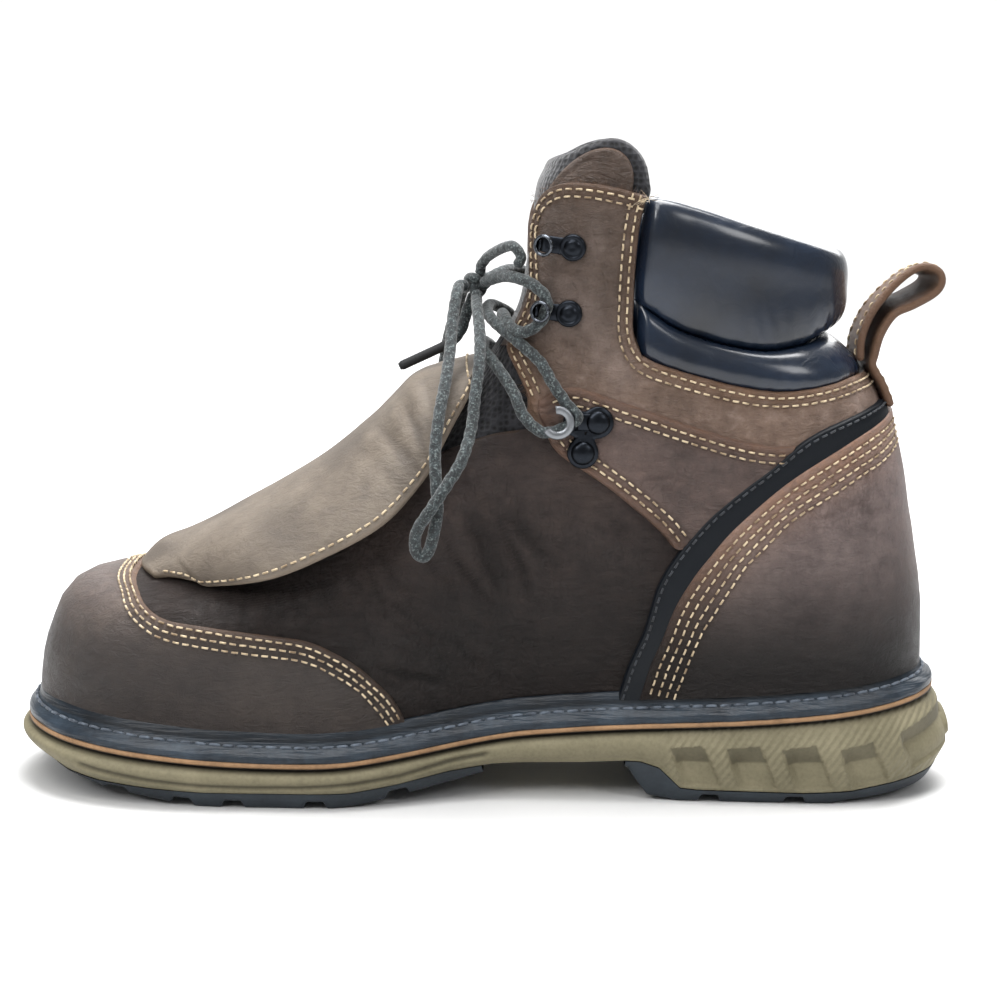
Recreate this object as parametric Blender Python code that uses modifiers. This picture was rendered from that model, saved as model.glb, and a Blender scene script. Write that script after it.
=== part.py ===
"""Metatarsal guard work boot, a right boot, toe towards -X and inner side towards -Y.

The upper, its panels, the tongue and the collar are all cut from one surface, skin(turn, ring):
turn goes round the boot from the toe (0) by the inner side to the heel (pi) and back by the outer
side, and ring climbs from the welt (0) to the top of the tongue (19). Every sole layer follows
one outline in plan and one rand line in height.
"""
import math

import bmesh
import bpy
from mathutils import Matrix, Vector

MM = 0.001

# Overall sizes
LENGTH = 0.3065
WIDTH = 0.110
SHAFT = 0.160
SOLE_HEIGHT = 0.0343

# Sole and welt
RUNNER = 0.0020
WELT_EDGE = 0.0023
WELT_RISE = 0.0090
WELT_SHELF = 0.0045
TREAD_DEPTH = 0.0024
LUG_GAP = 0.0062
WINDOW_WIDTH = 0.0125
WINDOW_HEIGHT = 0.0135
WINDOW_DEPTH = 0.0040
WINDOW_SLANT = 0.0055
FOOTBED = 0.0035

# Upper
WALL = 0.0025
PANEL = 0.0014
TONGUE_THICK = 0.0055
TONGUE_GAP = 0.0014
GUARD_THICK = 0.0030
GUARD_LINING = 0.0035
GUARD_HEM = 0.006
GUARD_GAP = 0.0008
CLEAR = 0.0003
SEAT = 0.0006

# Pull loop, hooks and laces
LOOP_WIDTH = 0.022
LOOP_THICK = 0.0024
LOOP_REACH = 0.033
RIVET_RADIUS = 0.0042
RIVET_HEIGHT = 0.0012
RIVET_CAP = 0.0026
HOOK_WIDTH = 0.0054
HOOK_REACH = 0.0098
HOOK_SHEET = 0.0010
LACE = 0.0040
AGLET = 0.0046

# Height of the rand (top of the midsole), as share of the length and share of SOLE_HEIGHT
RAND = [(0, .577), (.065, .504), (.16, .431), (.26, .379), (.35, .388), (.43, .466),
        (.53, .589), (.63, .668), (.77, .741), (.87, .831), (.95, .930), (1, 1.0)]

# Line between midsole and tread rubber, and under the waist the midsole's own underside
RUBBER = [(0, .33), (.036, .291), (.064, .222), (.10, .187), (.157, .165), (.21, .150), (.36, .155),
          (.41, .213), (.46, .294), (.505, .338), (.56, .352), (.60, .361), (.645, .385),
          (.66, .380), (.68, .324), (.702, .137), (.72, .122), (.83, .112), (.88, .132),
          (.90, .160), (.935, .198), (.96, .227), (1, .262)]

# Underside of the tread at forefoot and heel, flat where the boot stands
FOREFOOT_GROUND = [(0, .30), (.02, .262), (.04, .213), (.07, .152), (.10, .110), (.155, .052),
                   (.18, .022), (.205, 0), (.345, 0), (.37, .02), (.41, .085), (.44, .135),
                   (.47, .19), (.50, .255)]
HEEL_GROUND = [(.647, .31), (.655, .20), (.668, .05), (.70, 0), (.86, 0), (.88, .03), (.905, .05),
               (.93, .07), (.955, .10), (.985, .15), (1, .20)]

# Plan of the sole: share of the length where it starts and ends, and half widths of WIDTH
OUTLINE = dict(ball=.494, waist=.368, heel=.352, nose=.245, power=2.3)
CENTRE = [(0, -.036), (.3, 0), (.545, .032), (.82, .005), (1, 0)]

# Cross groove centres in the forefoot and heel tread, as shares of the length
GROOVES = [.102, .178, .238, .330, .420]
HEEL_GROOVES = [.733, .822]

# Heel side windows: share of the length of each centre
WINDOWS = [.712, .770, .832, .893]

# Rings of the upper. front and back are shares of LENGTH, the two rises of SHAFT above the
# feather line, the half widths of WIDTH; nose is how far the rounding reaches, power how blunt
# it is, and lean how much of the sole's sideways swing the ring keeps
RING_NAMES = ("front", "front_rise", "back", "back_rise", "ball", "waist", "heel",
              "nose", "power", "lean")
RINGS = [
    (.025, -.056, .954, -.056, .428, .303, .285, .230, 2.30, 1.0),
    (.025, .000, .954, .000, .430, .305, .287, .230, 2.30, 1.0),
    (.028, .056, .953, .052, .444, .322, .303, .230, 2.40, 1.0),
    (.033, .101, .952, .083, .446, .329, .308, .225, 2.40, 1.0),
    (.041, .148, .951, .114, .442, .333, .311, .212, 2.30, .95),
    (.050, .188, .949, .146, .434, .334, .311, .200, 2.20, .9),
    (.067, .217, .947, .177, .421, .334, .309, .190, 2.10, .85),
    (.092, .235, .944, .205, .407, .332, .306, .182, 2.00, .8),
    (.128, .256, .941, .236, .393, .330, .302, .190, 2.00, .75),
    (.173, .284, .938, .270, .378, .327, .297, .200, 2.00, .7),
    (.225, .330, .934, .311, .360, .323, .291, .196, 2.00, .6),
    (.283, .389, .930, .358, .338, .318, .284, .180, 2.00, .5),
    (.341, .461, .924, .415, .320, .314, .278, .164, 2.00, .4),
    (.396, .538, .917, .470, .310, .309, .273, .146, 2.00, .3),
    (.448, .619, .909, .526, .305, .304, .270, .130, 2.10, .2),
    (.484, .700, .888, .604, .300, .296, .263, .118, 2.20, .1),
    (.510, .788, .851, .688, .295, .291, .223, .105, 2.40, 0),
    (.521, .886, .840, .771, .300, .300, .218, .098, 2.60, 0),
    (.526, 1.00, .845, .851, .309, .309, .236, .098, 2.70, 0),
    (.542, 1.10, .845, .940, .309, .309, .236, .098, 2.70, 0),
]
BALL_AT, WAIST_AT, HEEL_AT = .319, .545, .82
HEEL_ROUND, HEEL_POWER = .13, 2.2

# Half angle of the throat, by ring: the vamp's edge, the notch behind it, then the lace edges
THROAT = [(11, 0), (12, .30), (12.7, .62), (13.0, .95), (13.6, .98), (14.0, .87), (14.5, .76),
          (14.9, .60), (15.3, .48), (16.1, .50), (17.0, .42), (18.0, .45)]
UPPER_RINGS = [0, 1, 2, 4, 5, 6, 7, 8, 9.5, 11, 12, 12.7, 13.2, 13.7, 14.3, 14.9, 15.5, 16.2,
               17.1, 18.0]

THROAT_REACH = 1.6
TOP_LIFT = .54
COLUMNS = 36
PANEL_FOOT = 1.15
COUNTER_RINGS = [PANEL_FOOT, 2, 4, 5, 6, 7, 8, 9.5, 11, 12, 12.4, 12.7, 12.95, 13.2, 13.45, 13.65]
STRIP_GAP = .014

# Top line of the leather seen from the side: share of LENGTH, rise of SHAFT
TOPLINE = [(.655, 1.30), (.649, .983), (.642, .919), (.640, .842), (.639, .765), (.641, .716),
           (.648, .677), (.667, .658), (.707, .632), (.748, .609), (.789, .595), (.831, .600),
           (.865, .612), (.885, .616), (1.02, .62), (1.02, 1.30)]

# Panel edges, as (turn, ring)
TOE_CAP = [(0, 7.95), (.28, 7.72), (.51, 6.98), (.65, 6.05), (.75, 5.54), (.86, 5.5), (.98, 5.39),
           (1.09, 5.25), (1.16, 5.04), (1.25, 4.33), (1.31, 3.47), (1.36, 2.43), (1.41, 1.30)]
COUNTER_TURN = [(1.1, 1.93), (2.75, 1.96), (4.85, 1.99), (7, 2.0), (8.5, 2.0), (10, 2.02),
                (11.1, 2.08), (12, 2.18), (12.6, 2.30), (13.15, 2.48), (13.45, 2.59), (13.7, 2.81)]
STRIP_TURN = [(1.1, 1.88), (2.75, 1.905), (5.35, 1.925), (8.5, 1.905), (9.7, 1.92), (10.8, 1.94),
              (11.6, 2.00), (12.3, 2.09), (13.1, 2.19), (13.6, 2.35), (13.8, 2.5)]
BAND_TOP = [(.97, 14.08), (1.05, 14.33), (1.15, 14.33), (1.23, 14.23), (1.49, 13.88),
            (1.73, 13.49), (1.92, 13.17), (2.06, 13.05), (2.13, 13.0)]
BAND_FOOT = [(1.0, 13.72), (1.08, 13.4), (1.16, 13.07), (1.26, 12.67), (1.44, 12.1),
             (1.60, 11.44), (1.76, 10.59), (1.88, 9.75), (1.905, 10.3), (1.93, 11.0),
             (1.97, 11.6), (2.05, 12.25), (2.13, 12.8)]

# Collar pad and the roll under it: turn, low ring, high ring, then shares of the padding's
# thickness that stand proud of the skin and lie inside it
COLLAR_THICK = 0.010
PAD_SIDES = 8
COLLAR_PAD = [(1.335, 16.36, 18.30, .05, .6), (1.42, 16.2, 18.42, .30, .9),
              (1.65, 15.80, 18.42, .40, 1.0), (2.05, 15.58, 18.30, .50, 1.0),
              (2.40, 15.72, 18.20, .60, 1.0), (2.75, 15.95, 18.10, .80, .9),
              (math.pi, 16.08, 18.08, .95, .8)]
COLLAR_ROLL = [(1.365, 15.55, 16.20, .03, .6), (1.42, 15.22, 16.05, .06, .8),
               (1.65, 14.93, 15.70, .10, .9), (2.05, 14.67, 15.48, .10, .9),
               (2.40, 14.95, 15.62, .10, .9), (2.75, 15.25, 15.85, .05, .8),
               (math.pi, 15.35, 15.98, .05, .8)]

# Tongue: ring and half angle, and the ring of its top edge by turn
TONGUE = [(11.6, .50), (12.4, .90), (13.4, 1.14), (14.4, 1.14), (15.4, 1.08), (16.4, 1.12),
          (17.4, 1.20), (18.15, 1.28), (18.7, 1.40)]
TONGUE_TOP = [(0, 18.85), (.5, 19.0), (1.0, 19.35), (1.2, 19.38), (1.4, 18.95)]

# Metatarsal guard: crest share and rise, edge share and rise, half width of WIDTH
GUARD_ROOT = [(8.15, .42, .0), (8.65, .47, .0012)]
GUARD = [(.171, .331, .211, .286, .372),
         (.222, .392, .280, .312, .445), (.273, .448, .340, .349, .455), (.324, .514, .394, .397, .436),
         (.375, .592, .428, .460, .400), (.412, .659, .442, .497, .373), (.438, .675, .461, .572, .318),
         (.458, .677, .471, .615, .282), (.477, .680, .477, .650, .236)]

# Pull loop after it leaves the heel seam: shares of LOOP_REACH out and up from the top line
LOOP_LEG = [13.85, 14.2, 14.6, 15.0]
LOOP = [(.07, .16), (.12, .38), (.24, .58), (.43, .68), (.61, .79), (.67, .88), (.64, .96),
        (.52, .99), (.38, .92), (.21, .76), (.07, .58), (-.01, .41), (-.045, .27), (-.048, .13)]

# Lace from the knot round both mid hooks, through the lock hooks and across, half of the route:
# turn, ring and millimetres proud of the skin. The other half mirrors it and passes over
LACE_START = [(.24, 16.5, 5.0), (.42, 16.55, 4.6), (.58, 16.55, 4.3), (.71, 16.45, 4.2),
              (.785, 16.25, 4.6), (.79, 15.95, 4.8), (.785, 15.62, 4.6), (.69, 15.37, 4.1),
              (.56, 15.43, 3.6), (.40, 15.64, 2.0)]
LACE_UNDER = [(.2, 15.74, -.2), (0, 15.74, -.8), (-.2, 15.66, -.2), (-.4, 15.5, 2.0)]
LACE_OVER = [(.2, 15.74, 4.4), (0, 15.70, 4.5), (-.2, 15.62, 4.4), (-.4, 15.48, 4.0)]
LACE_DROP = [(-.62, 15.25, 3.2), (-.85, 14.85, 3.6), (-.98, 14.4, 4.6), (-1.10, 13.98, 5.0),
             (-1.20, 13.62, 5.4), (-1.12, 13.28, 5.0)]
LACE_BAR = [(-.97, 13.6, 4.6), (-.80, 14.15, 3.4), (-.58, 14.65, 3.0), (-.33, 14.95, 2.2),
            (0, 15.05, -.6)]

# Free laces, in metres: knot, the small bow loop, the hanging bow loop and the two ends. LEAVE
# holds the directions in which the cords leave the knot
KNOT_AT = (-0.0060, 0.0, 0.1620)
KNOT_SIZE = (0.0050, 0.0056, 0.0044)
LEAVE = {"hook": (.45, -.87, .20), "ear": (.15, -.25, .95), "bow": (-.857, -.504, -.10),
         "bow_back": (-.05, -.72, -.69), "end_near": (-.35, .05, -.93), "end_far": (-.52, .83, -.21)}
EAR = [(-.0028, -.0060, .1712), (.0018, -.0165, .1744), (.0052, -.0222, .1752),
       (.0076, -.0240, .1720), (.0062, -.0222, .1690)]
BOW = [(-.0128, -.0080, .1585), (-.0138, -.0140, .1510), (-.0142, -.0215, .1425),
       (-.0152, -.0310, .1335), (-.0168, -.0385, .1240), (-.0178, -.0440, .1130),
       (-.0172, -.0480, .1035), (-.0166, -.0500, .0955), (-.0176, -.0500, .0885),
       (-.0190, -.0490, .0830), (-.0210, -.0485, .0805), (-.0232, -.0490, .0830),
       (-.0228, -.0510, .0890), (-.0188, -.0540, .0960), (-.0140, -.0530, .1035),
       (-.0095, -.0500, .1110), (-.0068, -.0440, .1200), (-.0058, -.0385, .1300),
       (-.0048, -.0335, .1390), (-.0048, -.0260, .1465), (-.0056, -.0165, .1530),
       (-.0062, -.0090, .1558)]
END_NEAR = [(-.0095, -.0012, .1530), (-.0108, -.0024, .1482), (-.0128, -.0034, .1449),
            (-.0150, -.0036, .1432)]
AGLET_NEAR = [(-.0156, -.0035, .1423), (-.0310, -.0030, .1348)]
END_FAR = [(-.0110, .0110, .1595), (-.0130, .0170, .1530), (-.0155, .0260, .1450),
           (-.0175, .0355, .1345), (-.0185, .0435, .1230), (-.0190, .0475, .1130)]
AGLET_FAR = [(-.0191, .0478, .1121), (-.0200, .0505, .0965)]

COLOURS = {
    "rubber": ("#343a42", .75, 0), "foam": ("#948d75", .85, 0), "runner": ("#b08a5e", .8, 0),
    "welt": ("#39424e", .55, 0), "leather": ("#564640", .55, 0), "cuff": ("#6a5042", .55, 0),
    "guard": ("#756a60", .6, 0), "padding": ("#1f2630", .3, 0), "mesh": ("#232323", .95, 0),
    "trim": ("#15171b", .6, 0), "metal": ("#1a1c1f", .35, 1), "lace": ("#4b5052", .9, 0),
    "footbed": ("#3a3a3c", .9, 0),
}
STEP = 1e-3

for old in list(bpy.data.objects):
    bpy.data.objects.remove(old, do_unlink=True)
BOOT = bpy.data.collections.new("metatarsal_guard_boot")
CUTTERS = bpy.data.collections.new("cutters")
bpy.context.scene.collection.children.link(BOOT)
bpy.context.scene.collection.children.link(CUTTERS)


def follow(rows, at, smooth=True):
    """Value of a short table at a place, straight beyond its ends."""
    last = len(rows) - 1
    if at <= rows[0][0] or at >= rows[-1][0]:
        low, high = (0, 1) if at <= rows[0][0] else (last - 1, last)
        slope = (rows[high][1] - rows[low][1]) / (rows[high][0] - rows[low][0])
        foot = 0 if at <= rows[0][0] else last
        return rows[foot][1] + slope * (at - rows[foot][0])
    index = max(k for k in range(last) if rows[k][0] <= at)
    (x0, y0), (x1, y1) = rows[index], rows[index + 1]
    share = (at - x0) / (x1 - x0)
    if not smooth:
        return y0 + (y1 - y0) * share

    def slope_at(k):
        low, high = max(k - 1, 0), min(k + 1, last)
        return (rows[high][1] - rows[low][1]) / (rows[high][0] - rows[low][0])

    span = x1 - x0
    return ((2 * share ** 3 - 3 * share ** 2 + 1) * y0 + (-2 * share ** 3 + 3 * share ** 2) * y1
            + (share ** 3 - 2 * share ** 2 + share) * span * slope_at(index)
            + (share ** 3 - share ** 2) * span * slope_at(index + 1))


def ease(rows, at):
    """Value of a table whose rows are level stops joined by cosine ramps."""
    if at <= rows[0][0]:
        return rows[0][1]
    for (x0, y0), (x1, y1) in zip(rows, rows[1:]):
        if at <= x1:
            return y0 + (y1 - y0) * (1 - math.cos(math.pi * (at - x0) / (x1 - x0))) / 2
    return rows[-1][1]


def rand(share):
    """Height of the midsole's top edge."""
    return follow(RAND, share) * SOLE_HEIGHT


def feather(share):
    """Height where the upper leaves the welt."""
    return rand(share) + RUNNER + CLEAR + WELT_RISE


def half_width(share, front, back, ball, waist, heel, nose, power, heel_round=HEEL_ROUND):
    """Half width in metres of a rounded plan at one share of the length."""
    width = ease([(BALL_AT, ball), (WAIST_AT, waist), (HEEL_AT, heel)], share) * WIDTH
    for inside, reach, bend in ((share - front, nose, power), (back - share, heel_round, HEEL_POWER)):
        if inside < reach:
            width *= max(0.0, 1 - max(0.0, 1 - inside / reach) ** bend) ** (1 / bend)
    return width


def ring_values(ring):
    """The named values of the upper's ring at a height between the table's rows."""
    return {name: follow([(i, row[k]) for i, row in enumerate(RINGS)], ring)
            for k, name in enumerate(RING_NAMES)}


def surface(turn, ring):
    """Point on the boot's outer skin."""
    row = ring_values(ring)
    along = (1 - math.cos(turn)) / 2
    share = row["front"] + (row["back"] - row["front"]) * along
    rise = row["front_rise"] + (row["back_rise"] - row["front_rise"]) * along
    width = half_width(share, row["front"], row["back"], row["ball"], row["waist"], row["heel"],
                       row["nose"], row["power"])
    side = -1 if math.sin(turn) > 0 else 1
    swing = ease(CENTRE, share) * WIDTH * row["lean"]
    return Vector(((share - .5) * LENGTH, swing + side * width, feather(share) + rise * SHAFT))


def skin(turn, ring, proud=0.0):
    """Point on the skin, or proud of it along its normal."""
    if not proud:
        return surface(turn, ring)
    along = surface(turn + STEP, ring) - surface(turn - STEP, ring)
    up = surface(turn, ring + STEP) - surface(turn, ring - STEP)
    return surface(turn, ring) + along.cross(up).normalized() * proud


def finish(obj, look):
    """Give an object its colour and smooth shading, and keep it in the boot's collection."""
    colour, roughness, metallic = COLOURS[look]
    channels = [int(colour[i:i + 2], 16) / 255 for i in (1, 3, 5)]
    material = bpy.data.materials.new(obj.name)
    material.use_nodes = True
    shader = material.node_tree.nodes["Principled BSDF"]
    linear = [c / 12.92 if c <= .04045 else ((c + .055) / 1.055) ** 2.4 for c in channels]
    shader.inputs["Base Color"].default_value = (*linear, 1)
    shader.inputs["Roughness"].default_value = roughness
    shader.inputs["Metallic"].default_value = metallic
    obj.data.materials.clear()
    obj.data.materials.append(material)
    return obj


def build(name, mesh, collection=BOOT):
    """Turn a bmesh into an object with clean faces."""
    bmesh.ops.remove_doubles(mesh, verts=mesh.verts, dist=1e-6)
    data = bpy.data.meshes.new(name)
    mesh.to_mesh(data)
    mesh.free()
    obj = bpy.data.objects.new(name, data)
    collection.objects.link(obj)
    if collection is CUTTERS:
        obj.hide_render = True
        obj.display_type = "WIRE"
    return obj


def closed(name, mesh, collection=BOOT):
    """Turn a closed bmesh into an object with its faces pointing out."""
    bmesh.ops.remove_doubles(mesh, verts=mesh.verts, dist=1e-6)
    bmesh.ops.recalc_face_normals(mesh, faces=mesh.faces)
    return build(name, mesh, collection)


def loft(name, sections, ring_closed=True, collection=BOOT):
    """Solid through a row of sections with equal numbers of points, flat at both ends."""
    mesh = bmesh.new()
    rows = [[mesh.verts.new(point) for point in section] for section in sections]
    count = len(rows[0])
    for low, high in zip(rows, rows[1:]):
        for i in range(count if ring_closed else count - 1):
            j = (i + 1) % count
            mesh.faces.new((low[i], low[j], high[j], high[i]))
    mesh.faces.new(rows[0])
    mesh.faces.new(rows[-1])
    return closed(name, mesh, collection)


def sheet(name, rows, thickness, outward=False):
    """Shell of even thickness on a grid of points whose rows run with the turn."""
    mesh = bmesh.new()
    grid = [[mesh.verts.new(point) for point in row] for row in rows]
    for low, high in zip(grid, grid[1:]):
        for i in range(len(low) - 1):
            mesh.faces.new((low[i], low[i + 1], high[i + 1], high[i]))
    obj = build(name, mesh)
    solid = obj.modifiers.new("thickness", "SOLIDIFY")
    solid.thickness = thickness
    solid.offset = 1 if outward else -1
    return obj


def cut(obj, cutter, operation="DIFFERENCE"):
    """Boolean an object with a cutter."""
    step = obj.modifiers.new(cutter.name, "BOOLEAN")
    step.operation = operation
    step.solver = "EXACT"
    step.object = cutter


def spread(start, end, count):
    """Evenly spaced values from start to end."""
    return [start + (end - start) * i / count for i in range(count + 1)]


def smooth_path(points, per_span=2):
    """Points along a smooth curve through the given ones."""
    points = [Vector(p) for p in points]
    ends = [points[0] * 2 - points[1], *points, points[-1] * 2 - points[-2]]
    path = []
    for a, b, c, d in zip(ends, ends[1:], ends[2:], ends[3:]):
        for k in range(per_span):
            t = k / per_span
            path.append((b * 2 + (c - a) * t + (a * 2 - b * 5 + c * 4 - d) * t ** 2
                         + (b * 3 - a - c * 3 + d) * t ** 3) / 2)
    return [*path, points[-1]]


def tube(name, points, diameter, look):
    """Round cord or wire along points."""
    curve = bpy.data.curves.new(name, "CURVE")
    curve.dimensions = "3D"
    curve.bevel_depth = diameter / 2
    curve.bevel_resolution = 2
    curve.use_fill_caps = True
    spline = curve.splines.new("POLY")
    spline.points.add(len(points) - 1)
    for place, point in zip(spline.points, points):
        place.co = (*point, 1)
    obj = bpy.data.objects.new(name, curve)
    BOOT.objects.link(obj)
    return finish(obj, look)


# Sole


def plan_point(along, side, front, back, grow):
    """Point of the sole's outline in plan, grown outward by some metres."""
    share = front + (back - front) * along
    width = half_width(share, front, back, OUTLINE["ball"] + grow / WIDTH,
                       OUTLINE["waist"] + grow / WIDTH, OUTLINE["heel"] + grow / WIDTH,
                       OUTLINE["nose"], OUTLINE["power"], .155)
    return share, ease(CENTRE, share) * WIDTH + side * width


def layer(name, alongs, levels, look):
    """Sole layer between two height lines, through levels of front, back, grow and height."""
    mesh = bmesh.new()
    rings = []
    for front, back, grow, height in levels:
        ring = []
        for side, order in ((-1, alongs), (1, alongs[::-1])):
            for along in order:
                share, across = plan_point(along, side, front, back, grow)
                ring.append(mesh.verts.new(((share - .5) * LENGTH, across, height(share))))
        rings.append(ring)
    count = len(rings[0])
    for low, high in zip(rings, rings[1:]):
        for i in range(count):
            j = (i + 1) % count
            mesh.faces.new((low[i], low[j], high[j], high[i]))
    for ring in (rings[0], rings[-1]):
        for i in range(len(alongs) - 1):
            mesh.faces.new((ring[i], ring[i + 1], ring[count - 2 - i], ring[count - 1 - i]))
    return finish(closed(name, mesh), look)


def rounded(start, end, count):
    """Shares from start to end, closer together near 0 and 1."""
    low, high = math.acos(1 - 2 * start), math.acos(1 - 2 * end)
    return [(1 - math.cos(a)) / 2 for a in spread(low, high, count)]


def rubber_line(share):
    """Height of the joint between midsole and tread rubber."""
    return follow(RUBBER, share, smooth=False) * SOLE_HEIGHT


def between(low, high, part):
    """Height line part of the way from one line to another."""
    return lambda share: low(share) + (high(share) - low(share)) * part


def tread(name, alongs, ground):
    """Tread rubber from the ground up to the midsole."""
    def under(share):
        return follow(ground, share, smooth=False) * SOLE_HEIGHT

    def top(share):
        return rubber_line(share) - CLEAR

    return layer(name, alongs, [(.030, .982, -4 * MM, under), (.024, .986, -2.6 * MM, between(under, top, .5)),
                                (.020, .988, -2.2 * MM, top)], "rubber")


def block(name, size, place, turn=0.0, collection=CUTTERS):
    """Box cutter."""
    mesh = bmesh.new()
    bmesh.ops.create_cube(mesh, size=1)
    obj = build(name, mesh, collection)
    obj.matrix_world = Matrix.Translation(place) @ Matrix.Rotation(turn, 4, "Z") @ Matrix.Diagonal((*size, 1))
    return obj


def make_sole():
    """Tread, midsole and the thin runner under the welt."""
    fore = tread("outsole_forefoot", rounded(0, .49, 15), FOREFOOT_GROUND)
    for index, share in enumerate(GROOVES):
        floor = follow(FOREFOOT_GROUND, share, smooth=False) * SOLE_HEIGHT + TREAD_DEPTH
        deep = min(floor, rubber_line(share) - 2.2 * CLEAR)
        place = ((share - .5) * LENGTH, 0, deep - .01)
        cut(fore, block(f"groove_{index}", (LUG_GAP, WIDTH * 1.4, .02), place, .12 - .05 * index))
    heel_alongs = sorted([.645, .656, .668, .68, .702, .72, .76, .80, .84, .86, .88, *rounded(.90, 1, 5)])
    rear = tread("outsole_heel", heel_alongs, HEEL_GROUND)
    for index, share in enumerate(HEEL_GROOVES):
        place = ((share - .5) * LENGTH, 0, TREAD_DEPTH * .8 - .01)
        cut(rear, block(f"heel_groove_{index}", (LUG_GAP * .8, WIDTH * 1.4, .02), place))

    alongs = sorted({*rounded(0, .645, 15), *heel_alongs})
    midsole = layer("midsole", alongs, [
        (.020, .988, -2.2 * MM, rubber_line),
        (.004, 1.0, .2 * MM, between(rubber_line, rand, .35)),
        (0, .992, .6 * MM, between(rubber_line, rand, .7)),
        (.010, .978, -1.2 * MM, rand)], "foam")
    for index, share in enumerate(WINDOWS):
        for side in (-1, 1):
            cut(midsole, window(f"window_{index}_{side}", share, side))
    layer("midsole_runner", alongs, [
        (.008, .979, -.6 * MM, lambda s: rand(s) + CLEAR),
        (.006, .980, .2 * MM, lambda s: rand(s) + CLEAR + RUNNER * .5),
        (.007, .979, 0, lambda s: rand(s) + RUNNER)], "runner")


def window(name, share, side):
    """Slanted wedge shaped recess in the heel's flank, deepest half way up."""
    here, across = plan_point(share, side, 0, 1, 0)
    ahead, across_ahead = plan_point(share + .01, side, 0, 1, 0)
    heading = math.atan2(across_ahead - across, (ahead - here) * LENGTH)
    middle = (rubber_line(share) + rand(share)) / 2
    sections = []
    for end in (-.5, .5):
        section = []
        for out, up in ((-1, 0), (1, -1), (1, 1)):
            lean = -WINDOW_SLANT / 2 * up
            section.append((end * WINDOW_WIDTH + lean, side * out * WINDOW_DEPTH, up * WINDOW_HEIGHT))
        sections.append(section)
    obj = loft(name, sections, collection=CUTTERS)
    obj.matrix_world = (Matrix.Translation(((here - .5) * LENGTH, across, middle))
                        @ Matrix.Rotation(heading, 4, "Z"))
    return obj


def make_welt(turns):
    """Storm welt: bead against the leather, stitch channel and flat edge over the runner."""
    mesh = bmesh.new()
    rings = []
    for turn in turns:
        along = (1 - math.cos(turn)) / 2
        side = -1 if math.sin(turn) > 0 else 1
        share, across = plan_point(along, side, .007, .979, 0)
        foot = rand(share) + RUNNER + CLEAR
        edge = Vector(((share - .5) * LENGTH, across, 0))
        wall = skin(turn, 0, CLEAR)
        near = skin(turn, 1, CLEAR)
        inward = Vector((near.x - edge.x, near.y - edge.y, 0)).normalized()
        shelf = edge + inward * WELT_SHELF
        bead = edge.lerp(Vector((near.x, near.y, 0)), .78)
        rings.append([mesh.verts.new(p) for p in (
            (edge.x, edge.y, foot), (edge.x, edge.y, foot + WELT_EDGE),
            (shelf.x, shelf.y, foot + WELT_EDGE * 1.35), (bead.x, bead.y, foot + WELT_RISE * .52),
            (bead.x, bead.y, foot + WELT_RISE * .82), (near.x, near.y, near.z),
            (wall.x, wall.y, wall.z + CLEAR))])
    for low, high in zip(rings, rings[1:] + rings[:1]):
        for i in range(len(low)):
            j = (i + 1) % len(low)
            mesh.faces.new((low[i], low[j], high[j], high[i]))
    return finish(closed("welt", mesh), "welt")


# Upper


def throat(ring):
    """Half angle of the throat opening at a ring."""
    return max(0.0, follow(THROAT, ring, smooth=False)) if ring > THROAT[0][0] else 0.0


def column_turns(columns):
    """Turns of the columns that the upper and its panels share."""
    return spread(0, 2 * math.pi, columns)


def make_upper(columns):
    """Vamp and cuff as one hollow wall, open at sole, throat and collar."""
    rows = []
    for ring in UPPER_RINGS:
        row = []
        for turn in column_turns(columns):
            near = min(turn, 2 * math.pi - turn)
            shifted = near + throat(ring) * max(0.0, 1 - near / THROAT_REACH)
            turn = shifted if turn <= math.pi else 2 * math.pi - shifted
            lift = max(0.0, TOP_LIFT * (1 - math.cos(turn)) - .08) if ring == UPPER_RINGS[-1] else 0
            row.append(skin(turn, ring + lift))
        rows.append(row)
    upper = sheet("upper", rows, WALL)
    outline = [((share - .5) * LENGTH, feather(share) + rise * SHAFT) for share, rise in TOPLINE]
    opening = loft("collar_opening", [[(x, side * WIDTH, z) for x, z in outline] for side in (-1, 1)],
                   collection=CUTTERS)
    cut(upper, opening)
    return finish(upper, "leather")


def mirror_turns(turns):
    """Turns of the outer side for those of the inner side."""
    return [2 * math.pi - turn for turn in turns][::-1]


def make_toe_cap():
    """Wing shaped toe cap over the vamp."""
    steep = [turn for turn, _ in TOE_CAP if turn > 1.1]
    near = [turn for turn in column_turns(COLUMNS) if turn < steep[0] - .05] + steep
    turns = [-turn for turn in near[:0:-1]] + near
    rows = []
    for ring in [PANEL_FOOT, 2, *range(4, 9)]:
        rows.append([skin(turn, min(ring, follow(TOE_CAP, abs(turn))), SEAT) for turn in turns])
    return finish(sheet("toe_cap", rows, PANEL, outward=True), "leather")


def make_counter():
    """Heel counter over the quarters."""
    first = min(turn for _, turn in COUNTER_TURN)
    near = [first] + [turn for turn in column_turns(COLUMNS) if first + .03 < turn <= math.pi]
    rows = []
    for ring in COUNTER_RINGS:
        start = follow(COUNTER_TURN, ring)
        turns = [max(turn, start) for turn in near]
        rows.append([skin(turn, ring, SEAT) for turn in turns + mirror_turns(turns[:-1])])
    return finish(sheet("heel_counter", rows, PANEL, outward=True), "leather")


def make_strips():
    """Narrow black strip in front of the counter, one on each side."""
    for name, side in (("rear_strip_inner", 1), ("rear_strip_outer", -1)):
        rows = []
        for ring in COUNTER_RINGS:
            turns = spread(follow(STRIP_TURN, ring), follow(COUNTER_TURN, ring) - STRIP_GAP, 2)
            turns = turns if side > 0 else [-turn for turn in turns[::-1]]
            rows.append([skin(turn, ring, SEAT) for turn in turns])
        finish(sheet(name, rows, PANEL * .8, outward=True), "trim")


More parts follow.
